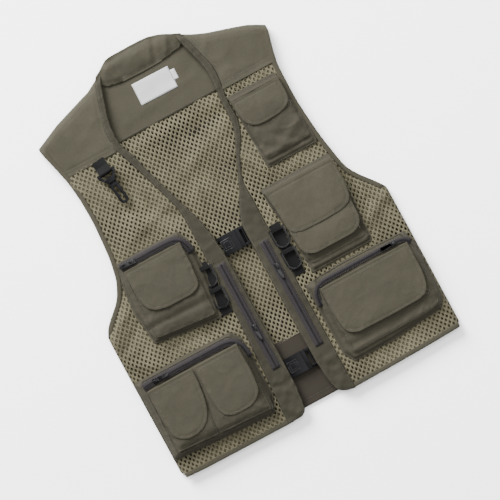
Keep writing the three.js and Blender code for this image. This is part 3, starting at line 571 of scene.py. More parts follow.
COLLAR = pattern((-84, 334), (-80, 340), (-67, 347), (-60, 352), (-52, 358), (-42, 360), (0, 360.5),
                 (20, 360), (34, 359), (48, 355), (60, 350), (72, 344), (88, 337), (92, 330), (84, 322),
                 (76, 316), (50, 312), (30, 309), (0, 308), (-40, 310), (-69, 315), (-80, 324))
COLLAR_FOLDS = [((-46, 318), (-58, 350), 5, 1.6), ((-34, 320), (-40, 348), 5, -1.3),
                ((6, 316), (2, 338), 6, 1.2), ((30, 322), (40, 352), 6, -1.5),
                ((52, 320), (62, 346), 5, 1.5), ((-60, 352), (60, 350), 3, -0.9)]


def crumple(x, y, seed, size, amount):
    """Sharp little ridges that wander over the cloth, as it keeps them from being packed."""
    wander = noise.noise(Vector((x / size, y / size, seed)))
    patch = 0.4 + noise.noise(Vector((x / 50, y / 50, seed + 3)))
    return amount * math.exp(-(wander / 0.09) ** 2) * patch


def puckers(x, y, seed, way_in, amount=0.5):
    """Short puckers across a line of stitches that lies just inside an edge."""
    return amount * math.exp(-((way_in - 4) / 3.5) ** 2) * noise.noise(Vector((x / 6, y / 6, seed)))


def groove(way_in, *rows):
    """The line a row of stitches draws the cloth down along, at each of these distances from the edge."""
    return -sum(0.75 * math.exp(-((way_in - row) / 1.7) ** 2) for row in rows)


def collar_roll(x, y, way_in):
    up = min(1, max(0, (y - 314 + abs(x) * 0.04) / 44))
    over = 3.0 * max(0, up - 0.86) / 0.14
    stand = 3.6 + 7.2 * math.sin(math.pi * min(1, up * 0.62 + 0.04)) - over
    calm = min(1, way_in / 9)
    pucker = 1.5 * folded(x, y, COLLAR_FOLDS) + ripple(x, y, 11, 17, 1.6) + crumple(x, y, 12, 24, 1.1)
    return stand + 0.5 + calm * pucker + groove(way_in, 5)


collar = sheet_of("collar_cloth", COLLAR, collar_roll, olive_twill, cell=3, wall=2.0)
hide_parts("collar")
cut_size(COLLAR)
topstitch("collar_stitching",
          [pattern((-66, 320), (-40, 316), (0, 314.5), (30, 315.5), (50, 318), (72, 322)),
           shifted(COLLAR[3:12], -5)], collar_roll, COLLAR, lift=1.05)

# ---- Front yokes ---------------------------------------------------------------------------------
# Two twill panels run over the shoulders and down to the front net, where they are topstitched twice.
# At the shoulders the cloth rolls down to the back.

FRONT_LIFT = 15.0  # how far the fronts stand over the floor
SHOULDER_ROLL = 15.0  # how far in from the fold the cloth is still coming up
SEAM_DOWN = 2.6  # where the fronts meet the back


def way_from(x, y, line):
    """How far a place is from an open line."""
    gap = 1e9
    for (ax, ay), (bx, by) in zip(line, line[1:]):
        dx, dy = bx - ax, by - ay
        along = min(1, max(0, ((x - ax) * dx + (y - ay) * dy) / (dx * dx + dy * dy)))
        gap = min(gap, math.hypot(x - ax - along * dx, y - ay - along * dy))
    return gap


def rolled(gap, reach):
    """0 at a fold and 1 past its reach, as round as cloth laid over an edge."""
    left = 1 - min(1, gap / reach)
    return math.sqrt(max(0, 1 - left * left))


def front_lie(x, y):
    """Where the middle of the front cloth lies: up on the body space, and down to the back at its folds."""
    share = 1.0
    if y > 240:
        share = rolled(way_from(x, y, SHOULDER_RIGHT if x < 0 else SHOULDER_LEFT), SHOULDER_ROLL)
    elif y < -60:
        share = rolled(max(0, 281.5 - abs(x)), 9)
    return SEAM_DOWN + (FRONT_LIFT - SEAM_DOWN) * share + ripple(x, y, 21, 95, 1.3) * share


YOKE_RIGHT = (SHOULDER_RIGHT + ARMHOLE_RIGHT[1:3] + pattern((-212, 205), (-104, 204), (-104, 248), (-97, 270),
                                                            (-87, 306), (-78, 330)))
YOKE_LEFT = (SHOULDER_LEFT + ARMHOLE_LEFT[1:3] + pattern((214, 212.5), (104, 212), (104, 262), (95, 290),
                                                         (86, 322), (80, 332)))


def yoke_lie(folds, seed, ridges, pinch):
    def lie(x, y, way_in):
        return (front_lie(x, y) + folded(x, y, folds) + ripple(x, y, seed, 24, 0.9)
                + ripple(x, y, seed + 0.5, 60, 1.4) + crumple(x, y, ridges, 55, 0.9)
                + puckers(x, y, pinch, way_in) + groove(way_in, 6, 12) + 0.5)

    return lie


for side, outline, seeds, folds, rows in (
        ("right", YOKE_RIGHT, (31, 33, 34),
         [((-180, 285), (-150, 225), 12, 0.9), ((-215, 260), (-190, 215), 9, -0.8),
          ((-120, 310), (-118, 240), 14, 0.7)],
         [pattern((-209, 210.5), (-113, 209.5)), pattern((-209, 216), (-113, 215)),
          pattern((-118, 206), (-118, 262), (-107, 296), (-97, 324))]),
        ("left", YOKE_LEFT, (32, 35, 36),
         [((150, 300), (135, 225), 12, 0.9), ((205, 262), (180, 220), 9, -0.8),
          ((196, 285), (214, 235), 8, 0.6)],
         [pattern((210, 218), (115, 218)), pattern((210, 223.5), (115, 223.5)),
          pattern((117, 214), (117, 264), (107, 300), (98, 328))])):
    lie = yoke_lie(folds, *seeds)
    yoke = sheet_of(f"{side}_yoke_cloth", outline, lie, olive_twill, cell=2.6)
    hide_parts(f"{side}_front_yoke")
    cut_size(outline)
    topstitch(f"{side}_yoke_stitching", rows, lie, outline)

# ---- Front nets ----------------------------------------------------------------------------------
# The fronts are the same net as the back, also doubled, and stretched between yoke, placket and hem.
# Under the net hangs a second layer, whose holes don't line up with the first.

NET_RIGHT = (pattern((-104, 208), (-210, 208)) + ARMHOLE_RIGHT[4:] + SIDE_RIGHT
             + pattern((-250, -361), (-60, -362), (-70, -350), (-58, -110), (-58, 48), (-68, 92), (-82, 138),
                       (-94, 170), (-101, 196)))
NET_LEFT = (pattern((104, 216), (212, 216)) + ARMHOLE_LEFT[4:] + SIDE_LEFT
            + pattern((227, -356), (103, -360), (60, -360), (58, -200), (58, 50), (70, 80), (92, 122),
                      (104, 150), (104, 200)))

# The second layer is a darker copy of the khaki net: painted shade for a layer lying in the first one's
# shadow.
khaki_second_shaded = dye_net("khaki_net_second_shaded", (0.020, 0.0175, 0.010), (0.052, 0.046, 0.0275))
for side, outline, turn, seed, folds in (
        ("right", NET_RIGHT, 0.06, 41,
         [((-200, 190), (-90, 40), 15, 1.1), ((-170, 120), (-70, 60), 9, -1.0),
          ((-275, -90), (-225, -40), 9, 1.6), ((-262, -110), (-222, -80), 8, -1.4),
          ((-110, 190), (-104, 120), 8, 1.3), ((-92, 78), (-150, 60), 8, 1.2),
          ((-180, -146), (-90, -150), 9, -1.4), ((-262, -140), (-232, -158), 8, 1.3)]),
        ("left", NET_LEFT, -0.05, 42,
         [((275, -85), (225, -110), 9, 1.8), ((274, -112), (222, -60), 9, -1.2),
          ((92, 110), (104, 40), 9, 1.2), ((262, -60), (222, -150), 8, 0.9),
          ((236, -70), (256, -128), 6, 1.3), ((262, -84), (274, -140), 5, 1.2),
          ((82, 96), (100, 60), 6, 1.2)])):
    def net_lie(x, y):
        return (front_lie(x, y) + 1.9 * folded(x, y, folds) + ripple(x, y, seed, 34, 1.6)
                + crumple(x, y, seed + 2, 60, 2.0))

    under = knit_net(f"{side}_front_net_under", outline, lambda x, y: net_lie(x, y) - 1.6, khaki_second_shaded,
                     turn=turn, coarse=True)
    cut_size(outline)
    net = knit_net(f"{side}_front_net", outline, net_lie, khaki_net)
    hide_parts(f"{side}_front_mesh_panel")
    cut_size(outline)

# ---- Plackets and neck bands ---------------------------------------------------------------------
# A doubled twill strip finishes each front edge. It runs on up the neck as a narrow band, and both of
# its edges are topstitched. A seam crosses it just above the pocket zip.

INNER_RIGHT = pattern((-44, -361), (-37, -356), (-34, -351), (-31, -329), (-29, -308), (-28, -250),
                      (-28, -60), (-29, -40), (-31, -20), (-33, -4), (-35, 10), (-38, 26), (-44, 44),
                      (-49, 60), (-55, 76), (-61, 96), (-67, 116), (-74, 136), (-80, 154), (-87, 184),
                      (-94, 200), (-98.5, 212), (-100, 230), (-99, 248), (-96, 264), (-90, 284),
                      (-84, 304), (-77, 326), (-71, 337), (-67, 343))
OUTER_RIGHT = pattern((-76, 341), (-83, 336), (-89, 324), (-96, 303), (-102, 284), (-108, 264), (-111, 248),
                      (-112, 230), (-111, 208), (-103, 190), (-96, 168), (-88, 146), (-80, 120), (-72, 96),
                      (-64, 70), (-61, 48), (-61, -20), (-61, -110), (-66, -230), (-72, -350), (-72, -363))
INNER_LEFT = pattern((47, -359), (39, -355), (32, -349), (28, -337), (25, -318), (23, -287), (22, -225),
                     (22, -18), (25, -6), (29, 6), (34, 16), (40, 28), (48, 42), (54, 56), (60, 70), (68, 88),
                     (75, 106), (82, 120), (88, 134), (93, 148), (94, 164), (94.5, 200), (97, 220), (98, 245),
                     (97, 262), (93, 280), (87, 300), (82, 318), (79, 331), (77, 336.5))
OUTER_LEFT = pattern((84, 337.5), (91, 327), (95, 318), (100, 300), (106, 280), (110, 262), (111, 246),
                     (109, 220), (106, 200), (106, 152), (100, 134), (93, 120), (80, 98), (72, 82),
                     (64, 64), (61, 50), (61, -100), (62, -352), (62, -362))
PLACKET_CUT = (56, 750)  # the strip before it is bent round the neck
ZIP_OUT = 43  # how far the pocket zips lie from the vest's middle
ZIP_FOOT, ZIP_HEAD = -268, -45  # between these the zips' tapes hold the plackets flat
EDGE_ROW = 2.4  # how far in the plackets' edges are stitched

# The plackets and hem facings use a darker copy of the olive twill: painted shade.
shaded_edge_twill = dye_twill("shaded_edge_twill", (0.0132, 0.0121, 0.0083), (0.0200, 0.0185, 0.0127))


def placket_lie(x, y, way_in):
    edge = 1.1 * (1 - math.exp(-way_in / 1.6))
    seam = crease(x, y, (-75, -50), (-20, -50), 1.4, 0.6) + crease(x, y, (20, -50), (75, -50), 1.4, 0.6)
    past_foot = math.exp(-((y - ZIP_FOOT) / 10) ** 2) if y <= ZIP_FOOT else 1
    past_head = math.exp(-((y - ZIP_HEAD) / 12) ** 2) if y >= ZIP_HEAD else 1
    beside = math.exp(-((abs(x) - ZIP_OUT) / 11) ** 2)
    calm = 1 - 0.85 * past_foot * beside * past_head
    pinch = calm * (ripple(x, y, 51, 13, 1.0) + ripple(x, y, 52, 45, 1.2) + crumple(x, y, 53, 30, 0.8))
    loose = min(1, max(0, (ZIP_FOOT - y) / 16))
    pinch += loose * (ripple(x, y, 55, 15, 2.4) + crumple(x, y, 56, 16, 1.2))
    pinch += puckers(x, y, 54, way_in, 0.7) - 0.5 * math.exp(-((way_in - 2.6) / 1.3) ** 2)
    return front_lie(x, y) + 0.6 + edge - seam + pinch


for side, turn, inner, outer in (("right", -1, INNER_RIGHT, OUTER_RIGHT),
                                 ("left", 1, INNER_LEFT, OUTER_LEFT)):
    outline = inner + outer
    placket = sheet_of(f"{side}_placket_cloth", outline, placket_lie, shaded_edge_twill, cell=2.6, wall=1.8)
    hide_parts(f"{side}_placket")
    cut_size(outline, flat=PLACKET_CUT)
    near, far = sorted((turn * 31, turn * 59))
    topstitch(f"{side}_placket_stitching",
              [shifted(inner, -turn * EDGE_ROW), shifted(outer, -turn * EDGE_ROW),
               [(near, -47), (far, -47)], [(near, -54), (far, -54)]], placket_lie, outline, lift=1.0)

# ---- Bindings ------------------------------------------------------------------------------------
# Every raw edge of net is bound with a folded twill tape: the armholes front and back, and the front
# hems. A strip of the plackets' twill is sewn under the front hems to face them.

TAPE_ROUND = [(-0.9, 0.0), (-0.5, 1.1), (2.0, 1.5), (6.5, 1.4), (7.6, 0.9), (7.8, 0.1), (7.4, -0.8),
              (2.0, -1.3), (-0.5, -1.0)]
HEM_FACING = [(0.5, -0.4), (0.5, 0.4), (24, 0.4), (24, -0.4)]


def run_along(bm, stops, section):
    """Draws a closed section along a line of places. Each section point is (to the left, up)."""
    stops = np.array(stops, float)
    ahead = np.gradient(stops, axis=0)
    ahead = ahead / np.linalg.norm(ahead, axis=1)[:, None]
    left = np.column_stack([-ahead[:, 1], ahead[:, 0], np.zeros(len(stops))])
    left = left / np.linalg.norm(left, axis=1)[:, None]
    up = np.cross(ahead, left)
    rings = [[Vector(p + a * l + b * u) for a, b in section] for p, l, u in zip(stops, left, up)]
    ring = [bm.verts.new(place) for place in rings[0]]
    edges = [bm.edges.new((a, b)) for a, b in zip(ring, ring[1:] + ring[:1])]
    first = bm.faces.new(ring)
    for places in rings[1:]:
        made = bmesh.ops.extrude_edge_only(bm, edges=edges)["geom"]
        edges = [g for g in made if isinstance(g, bmesh.types.BMEdge)]
        fresh = [g for g in made if isinstance(g, bmesh.types.BMVert)]
        hops = {e: v for v in fresh for e in v.link_edges if e not in edges}
        ring = [next(v for e, v in hops.items() if old in e.verts) for old in ring]
        for v, place in zip(ring, places):
            v.co = place
    bm.faces.new(ring[::-1])
    first.normal_update()
    bmesh.ops.recalc_face_normals(bm, faces=bm.faces)


def finely(line, step):
    """The same line with a stop at every step along it, eased at its corners."""
    stops = np.array(line, float)
    walked = walk(stops)
    marks = np.linspace(0, walked[-1], max(3, int(walked[-1] / step)))
    fine = np.column_stack([np.interp(marks, walked, stops[:, k]) for k in range(stops.shape[1])])
    for _ in range(3):
        fine[1:-1] = (fine[:-2] + 2 * fine[1:-1] + fine[2:]) / 4
    return fine


def bind(name, line, lie, section, finish=olive_twill):
    bm = bmesh.new()
    run_along(bm, [(x, y, lie(x, y)) for x, y in finely(line, 4)], section)
    soften(finish_piece(bm, name, finish))


for side, turn, arm, hem in (
        ("right", 1, ARMHOLE_RIGHT, pattern((-277, -359), (-240, -361), (-150, -362), (-66, -362.5))),
        ("left", -1, ARMHOLE_LEFT, pattern((277, -355), (227, -357), (150, -359), (58, -360.5)))):
    tape, facing = ([(turn * a, b) for a, b in section] for section in (TAPE_ROUND, HEM_FACING))
    bind(f"{side}_armhole_binding", arm, lambda x, y: front_lie(x, y) + 0.4, tape)
    bind(f"{side}_back_armhole_binding", arm, lambda x, y: 1.9 + ripple(x, y, 2, 60, 0.5), tape)
    bind(f"{side}_hem_binding", hem, lambda x, y: front_lie(x, y) + 0.3, tape)
    bind(f"{side}_hem_facing", hem, lambda x, y: front_lie(x, y) - 2.6, facing, shaded_edge_twill)

# ---- Neck label ----------------------------------------------------------------------------------
# A white woven label is sewn flat inside the back neck by its four edges, with a small size tab caught
# under its side. Both are left blank.

label_finish, add, shader = new_finish("label_satin", 0.5, Sheen_Weight=0.1)
fine_weave, dye = use(add, twill_weave, Rib=700.0), use(add, uneven_dye, Patch=60.0)
bump = add("Bump", {"Height": fine_weave["Height"], "Strength": 0.3, "Distance": 0.0002})
feed(shader, Base_Color=tint(add, (0.22, 0.22, 0.228), (0.29, 0.29, 0.297), dye["Shade"]), Normal=bump[0])
LABEL = pattern((-32, 257), (-31, 298), (41, 297), (40, 256))
SIZE_TAB = pattern((38, 270), (38, 289), (49.5, 288), (49, 269))


def label_lie(x, y, way_in):
    return yoke_inside(x, y, way_in) + 1.5 + 0.5 * min(1, way_in / 4)


label = sheet_of("neck_label", LABEL, label_lie, label_finish, cell=3, wall=0.5)
cut_size(LABEL)
size_tab = sheet_of("size_tab", SIZE_TAB, lambda x, y, d: label_lie(x, y, d) - 0.5, label_finish,
                    cell=2.5, wall=0.4)
cut_size(SIZE_TAB)
topstitch("label_stitching", [shifted(LABEL + LABEL[:1], -2.0)], label_lie, LABEL, lift=0.25)

# ---- Pockets -------------------------------------------------------------------------------------
# Five pockets are sewn on the front nets. Each is a twill bag with a pleated gusset all round that lets
# it fill; here they are empty, so the faces slump a little and the gussets fold under their lower edges.

POCKET_BASE = 16.8  # where a pocket's edge is sewn down on the front
HEM_FLANGE = 3.5  # the flat turned-in edge round the foot of a gusset
PIPED_FROM = 10  # pockets that rise more than this have piping along the edge of the face
PIPING = [(-0.8, -0.5), (-0.8, 0.2), (0, 0.75), (0.8, 0.2), (0.8, -0.5)]

# Pockets, their piping and the flap strips use a darker copy of the olive twill: painted shade for the shade
# under the flaps and in the gussets.
shaded_pocket_twill = dye_twill("shaded_pocket_twill", (0.0168, 0.0154, 0.0108), (0.0258, 0.0237, 0.0165))


def bellows(node, foot, face, rise, fill, folds, seed, foot_row, face_row=None, seams=(),
            base=POCKET_BASE, slump=0.0, name=None):
    """A pocket: flat flange, pleated gusset, then a face that is slightly crowned and creased.

    Its rows of stitches run along the foot, and along the face from the corner that face_row says.
    """
    name = name or node
    cache = {}
    top, low = max(y for _, y in face), min(y for _, y in face)

    def lie(x, y, way_in):
        key = (round(x, 3), round(y, 3))
        if key not in cache:
            within, gap, _ = lie_in([key], face)
            cache[key] = (bool(within[0]), float(gap[0]))
        on_face, gap = cache[key]
        if on_face:
            crown = fill * rolled(gap, 30)
            down = min(1, max(0, (top - y) / (top - low)))
            z = base + rise + crown - 0.9 * math.exp(-gap / 1.1) - slump * down ** 3
            z -= 0.45 * math.exp(-((gap - 3) / 1.5) ** 2)
        else:
            climb = max(0, way_in - HEM_FLANGE) / max(0.1, way_in - HEM_FLANGE + gap)
            pleat = 1.5 * math.sin(2 * math.pi * climb) * min(1, rise / 8)
            down = min(1, max(0, (top - y) / (top - low)))
            z = base + (rise - slump * down ** 3) * climb ** 0.8 + (pleat if 0 < climb < 1 else 0)
        for start, end, width, depth in folds:
            z += crease(x, y, start, end, width, depth)
        return (z + ripple(x, y, seed, 28, 1.2) + ripple(x, y, seed + 0.5, 10, 0.6)
                + crumple(x, y, seed, 34, 1.1) + puckers(x, y, seed, gap, 0.9))

    if rise > PIPED_FROM:
        bm = bmesh.new()
        edge = [(x, y, lie(x, y, 20) + 0.75) for x, y in finely(face + face[:1], 3)]
        run_along(bm, edge, PIPING)
        soften(finish_piece(bm, name + "_piping", shaded_pocket_twill))
    piece = sheet_of(name + "_cloth", foot, lie, shaded_pocket_twill, cell=2.4, wall=1.2)
    soften(piece)
    cut_size(foot, gusset=rise * 0.6)
    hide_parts(node)
    rows = [shifted(foot[foot_row:], -1.8), *seams]
    if face_row:
        corner, way_in = face_row
        rows.insert(0, shifted(face[corner:], -way_in))
    topstitch(name + "_stitching", rows, lie, foot, lift=0.75)


bellows("right_chest_pocket",
        foot=[(-206, 33), (-150, 35), (-82, 33), (-71, 8), (-72, -60), (-80, -110), (-86, -138), (-150, -132),
              (-212, -124), (-219, -60), (-216, -20), (-210, 8)],
        face=[(-198, 31), (-91, 29), (-89.5, 8), (-89.5, -60), (-92, -127), (-202, -116), (-202, -50)],
        rise=12.8, fill=1.4, slump=5.0, seed=61, face_row=(2, 2.6), foot_row=2,
        folds=[((-205, -96), (-95, -99), 5, -1.6), ((-200, -84), (-96, -86), 6, 1.0),
               ((-196, -70), (-180, -116), 6, -1.0), ((-92, -60), (-104, -110), 6, 0.9)])
bellows("right_lower_pocket",
        foot=[(-280, -168), (-180, -165), (-86, -168), (-72, -186), (-70, -300), (-84, -332), (-180, -328),
              (-280, -322)],
        face=[(-264, -171), (-90, -172), (-82, -192), (-80, -322), (-180, -319), (-268, -313)],
        rise=14.2, fill=1.2, slump=1.0, seed=62, face_row=(2, 2.4), foot_row=3,
        folds=[((-268, -318), (-88, -326), 4, -1.0), ((-276, -190), (-262, -206), 5, 1.2),
               ((-72, -200), (-88, -230), 6, 1.2), ((-103, -262), (-105, -326), 4, -1.0)])
bellows("left_upper_pocket",
        foot=[(108, 195), (204, 195), (207, 130), (212, 60), (208, 54), (112, 54), (110, 130)],
        face=[(113, 192), (200, 192), (202, 130), (203, 70), (118, 68), (115, 130)],
        rise=9.0, fill=1.5, slump=4.0, seed=63, foot_row=1,
        folds=[((118, 100), (150, 66), 7, -1.6), ((205, 106), (160, 82), 7, 1.6),
               ((150, 100), (196, 66), 6, -1.4), ((120, 76), (200, 72), 5, 1.4),
               ((168, 66), (130, 118), 5, 0.9)])
bellows("left_middle_pocket",
        foot=[(81, 25), (218, 25), (219, -40), (214, -142), (208, -146), (94, -146), (91, -100), (89.5, -55),
              (83, -10)],
        face=[(86, 22), (213, 22), (214, -60), (208, -130), (100, -130), (94, -80)],
        rise=10.5, fill=1.2, slump=5.0, seed=64, foot_row=2,
        folds=[((100, -126), (206, -122), 4, -1.8), ((98, -136), (208, -134), 3, 1.2),
               ((150, -112), (205, -132), 5, 0.9)])
bellows("left_lower_pocket",
        foot=[(70, -160), (150, -152), (270, -157), (279, -186), (276, -292), (262, -309), (160, -318),
              (84, -319), (72, -296)],
        face=[(90, -157), (150, -155), (262, -158), (268, -190), (264, -296), (240, -302), (94, -304),
              (86, -240)],
        rise=14.2, fill=1.2, slump=5.0, seed=65, face_row=(4, 2.4), foot_row=3,
        folds=[((96, -290), (262, -288), 5, -1.2), ((180, -296), (262, -270), 6, -1.0),
               ((90, -300), (262, -299), 3, 1.2), ((262, -196), (272, -214), 5, 1.4)])

# ---- Twin patch pocket ---------------------------------------------------------------------------
# Two small pockets are cut as one panel and sewn on the face of the lower right pocket, with a seam
# between them that leans a little to the hem.

bellows("right_lower_twin_pocket", name="right_twin_pocket",
        foot=[(-264, -190), (-84, -190), (-83, -280), (-85, -321), (-180, -316), (-264, -311)],
        face=[(-257, -191), (-92, -191), (-92, -280), (-95, -312), (-180, -308), (-256, -303)],
        rise=4.6, fill=1.6, base=34.2, seed=66,
        folds=[((-172, -190), (-186, -318), 2.4, -3.2), ((-262, -306), (-86, -318), 4, -0.8)],
        foot_row=1, seams=[[(-175, -193), (-189, -316)], [(-169, -193), (-183, -316)]])

# ---- Flaps ---------------------------------------------------------------------------------------
# Seven flaps of doubled twill with rounded lower corners close the pockets. Each is sewn on along its
# upper edge, topstitched a few millimetres in, and held down by hook-and-loop patches underneath.

FLAP_WALL = 1.7
PATCH_DROP = 1.45  # how far under the middle of a flap its patches lie
hook_finish, add, shader = new_finish("hook_and_loop", 0.95)
pile = use(add, knit_yarn, Fibre=1400.0)
bump = add("Bump", {"Height": pile["Height"], "Strength": 0.9, "Distance": 0.0006})
feed(shader, Base_Color=tint(add, (0.015, 0.0135, 0.01), (0.037, 0.033, 0.023), pile["Shade"]),
     Normal=bump[0])


def rounded(outline, radius):
    """The outline with its corners cut round. A corner with a radius of 0 stays."""
    corners = np.array(outline, float)
    out = []
    for k, (corner, size) in enumerate(zip(corners, radius)):
        if not size:
            out.append(tuple(corner))
            continue
        back, ahead = corners[k - 1] - corner, corners[(k + 1) % len(corners)] - corner
        a = corner + back / np.linalg.norm(back) * size
        b = corner + ahead / np.linalg.norm(ahead) * size
        for t in np.linspace(0, 1, 7):
            out.append(tuple((1 - t) ** 2 * a + 2 * t * (1 - t) * corner + t * t * b))
    return out


def flap_over(node, corners, radii, level, folds, seed, patches, curl=0.5):
    """A flap at its level, its patches under it, and its topstitching, all on the flap's own body."""
    name = node + "_cloth"
    outline = rounded(corners, radii)
    top = max(y for _, y in outline)
    low = min(y for _, y in outline)

    def lie(x, y, way_in):
        down = (top - y) / (top - low)
        free = way_in + 16 * math.exp(-((top - y) / 5) ** 2)
        z = level + 0.8 * rolled(free, 20) - 0.35 * math.exp(-free / 1.3) - curl * down ** 6
        z += groove(way_in, 5)
        for start, end, width, depth in folds:
            z += crease(x, y, start, end, width, depth)
        fade = min(1, (top - y) / 12)
        z += puckers(x, y, seed, top - y, 0.35) + fade * puckers(x, y, seed, way_in, 0.6)
        return z + fade * (ripple(x, y, seed, 36, 1.1) + ripple(x, y, seed + 0.5, 13, 0.4)
                           + crumple(x, y, seed, 32, 0.5))

    piece = sheet_of(name, outline, lie, olive_twill, cell=2.6, wall=FLAP_WALL, body=node)
    soften(piece)
    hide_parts(node)
    cut_size(outline)
    ring = [(x, y - 4 if y > top - 1 else y) for x, y in outline + outline[:1]]
    topstitch(node + "_stitching", [shifted(ring, -5.0)], lie, outline, body=node, lift=0.95)
    for k, (x0, x1, y0, y1) in enumerate(patches):
        patch = [(x0, y0), (x1, y0), (x1, y1), (x0, y1)]
        sewn = sheet_of(f"{name}_hook_patch_{k}", patch,
                        lambda x, y, d: lie(x, y, 20) - PATCH_DROP,
                        hook_finish, cell=4, wall=0.9, body=node)
        cut_size(patch)


def sewn_strip(name, outline, level, rise, row):
    """The folded strip that a flap hangs from: sewn flat on the front, rising to the flap's fold."""
    deep, high = np.ptp(outline, axis=0)[1], max(y for _, y in outline)

    def lie(x, y, way_in):
        down = min(1, max(0, (high - y) / deep))
        return level + rise * down ** 2 + ripple(x, y, 71, 14, 0.5) + puckers(x, y, 70, high - y, 0.7)

    # The strip's darker twill is painted shade.
    strip = sheet_of(name + "_cloth", outline, lie, shaded_pocket_twill, cell=2.6, wall=1.6)
    cut_size(outline)
    topstitch(name + "_stitching", [row], lie, outline, lift=0.95)


flap_over("right_chest_flap",
          [(-199, 14), (-87, 14), (-88, -30), (-92, -70), (-110, -77.5), (-165, -77), (-192, -68),
           (-199, -40)],
          (0, 0, 0, 12, 10, 14, 16, 12), level=33.7, seed=72, patches=[(-170, -120, -66, -44)],
          folds=[((-196, -20), (-120, -60), 14, 0.5), ((-180, 8), (-100, -8), 10, 0.4)])
flap_over("left_lower_flap",
          [(90, -176), (264, -176), (264, -230), (259, -262), (246, -275), (180, -277), (108, -275),
           (94, -262), (90, -220)],
          (0, 0, 0, 14, 14, 20, 12, 10, 12), level=35.8, seed=73,
          patches=[(110, 145, -265, -243), (208, 243, -265, -243)],
          folds=[((120, -270), (240, -200), 22, 0.5), ((230, -275), (262, -215), 8, -0.5)])
flap_over("left_upper_flap",
          [(109, 187), (203, 187), (204, 160), (202, 144), (192, 133), (160, 127), (128, 129), (114, 142),
           (110, 165)],
          (0, 0, 0, 10, 12, 18, 14, 12, 10), level=29.8, seed=74, patches=[(135, 178, 134, 152)],
          folds=[((112, 176), (190, 140), 14, 0.6), ((150, 186), (196, 160), 9, -0.4)])
sewn_strip("left_upper_strip", [(107, 198), (200, 198), (203.5, 186.4), (109, 186.4)],
           level=27.6, rise=3.2, row=[(109, 195), (199, 195)])
flap_over("left_middle_outer_flap",
          [(84, 16.5), (218, 16.5), (219, -30), (214, -62), (196, -72), (146, -74), (104, -72), (91, -62),
           (89, -20)],
          (0, 0, 0, 12, 14, 16, 14, 12, 10), level=34.1, seed=75, patches=[(125, 178, -62, -40)],
          folds=[((90, 0), (205, -50), 18, 0.5), ((84, -30), (120, -70), 9, 0.5)])
flap_over("left_middle_under_flap",
          [(88, -11), (213, -11), (213, -90), (211, -104), (196, -118), (150, -118), (108, -118),
           (94, -104), (92, -80)],
          (0, 0, 0, 10, 14, 18, 14, 10, 10), level=31.5, seed=76, patches=[(125, 178, -108, -86)], curl=0.7,
          folds=[((100, -112), (205, -84), 12, 0.4)])
sewn_strip("left_middle_strip", [(81, 26.5), (216, 27.5), (218.5, 15.8), (82, 15.8)],
           level=30.4, rise=4.4, row=[(84, 24), (213, 24.5)])
flap_over("right_lower_outer_flap",
          [(-263, -191), (-174, -191), (-175, -220), (-181, -262), (-196, -289), (-218, -298.5),
           (-242, -297), (-259, -284), (-263, -240)],
          (0, 0, 14, 16, 14, 14, 12, 12, 12), level=42.2, seed=77, patches=[(-242, -204, -290, -268)],
          folds=[((-255, -210), (-200, -285), 16, 0.4)])
flap_over("right_lower_inner_flap",
          [(-170, -191), (-85, -191), (-84, -240), (-87, -280), (-103, -297), (-130, -301),
           (-154, -298), (-168, -284), (-170, -240)],
          (0, 0, 12, 12, 14, 16, 12, 12, 12), level=42.2, seed=78, patches=[(-145, -107, -291, -269)],
          folds=[((-160, -210), (-100, -280), 16, 0.4), ((-140, -204), (-128, -228), 6, 0.4)])

# ---- Zips ----------------------------------------------------------------------------------------
# Five nylon zips: a woven tape with a moulded coil down its middle, a painted metal slider on the coil
# and a flat puller hinged in the slider's bridge. The tapes are stitched down along both edges.

TAPE_GREY = (0.0185, 0.0165, 0.0172)
TAPE_DEEP = (0.0115, 0.0102, 0.0108)


def draw_rib(add, given):
    """Woven ribs across a narrow tape."""
    along, across = (add("TexWave", {"Vector": given["Place"], "Scale": given["Rib"], "Distortion": 0.6},
                         bands_direction=way)[1] for way in "XY")
    both = add("Math", {0: along, 1: across}, operation="MULTIPLY")[0]
    return both, both


tape_rib = shared_effect("tape_rib", draw_rib, ["Shade", "Height"], Rib=260.0)


def weave_tape(name, low, high, rib, roughness=0.7):
    finish, add, shader = new_finish(name, roughness, Specular_IOR_Level=0.05)
    woven, dye = use(add, tape_rib, Rib=rib), use(add, uneven_dye, Patch=30.0)
    both = add("Mix", {"Factor": 0.45, "A": dye["Shade"], "B": woven["Shade"]})
    bump = add("Bump", {"Height": woven["Height"], "Strength": 0.5, "Distance": 0.0003})
    feed(shader, Base_Color=tint(add, low, high, both[0]), Normal=bump[0])
    return finish


zip_tape = weave_tape("zip_tape", TAPE_DEEP, TAPE_GREY, 330.0)


def draw_grain(add, given):
    """Moulded plastic: a faint spark-eroded grain and lighter rubbed patches."""
    grain = add("TexNoise", {"Vector": given["Place"], "Scale": given["Grain"], "Detail": 2.0})
    rub = add("TexNoise", {"Vector": given["Place"], "Scale": 90.0, "Detail": 4.0})
    edge = add("MapRange", {"Value": rub[0], "From Min": 0.45, "From Max": 0.7})
    return grain[0], edge[0]


moulded_grain = shared_effect("moulded_grain", draw_grain, ["Height", "Rub"], Grain=1800.0)


def mould(name, low, high, roughness, gloss):
    finish, add, shader = new_finish(name, roughness, Specular_IOR_Level=gloss)
    grain = use(add, moulded_grain)
    rough = add("MapRange", {"Value": grain["Rub"], "To Min": roughness - 0.07, "To Max": roughness + 0.12})
    bump = add("Bump", {"Height": grain["Height"], "Strength": 0.15, "Distance": 0.0002})
    feed(shader, Base_Color=tint(add, low, high, grain["Rub"]), Roughness=rough[0], Normal=bump[0])
    return finish


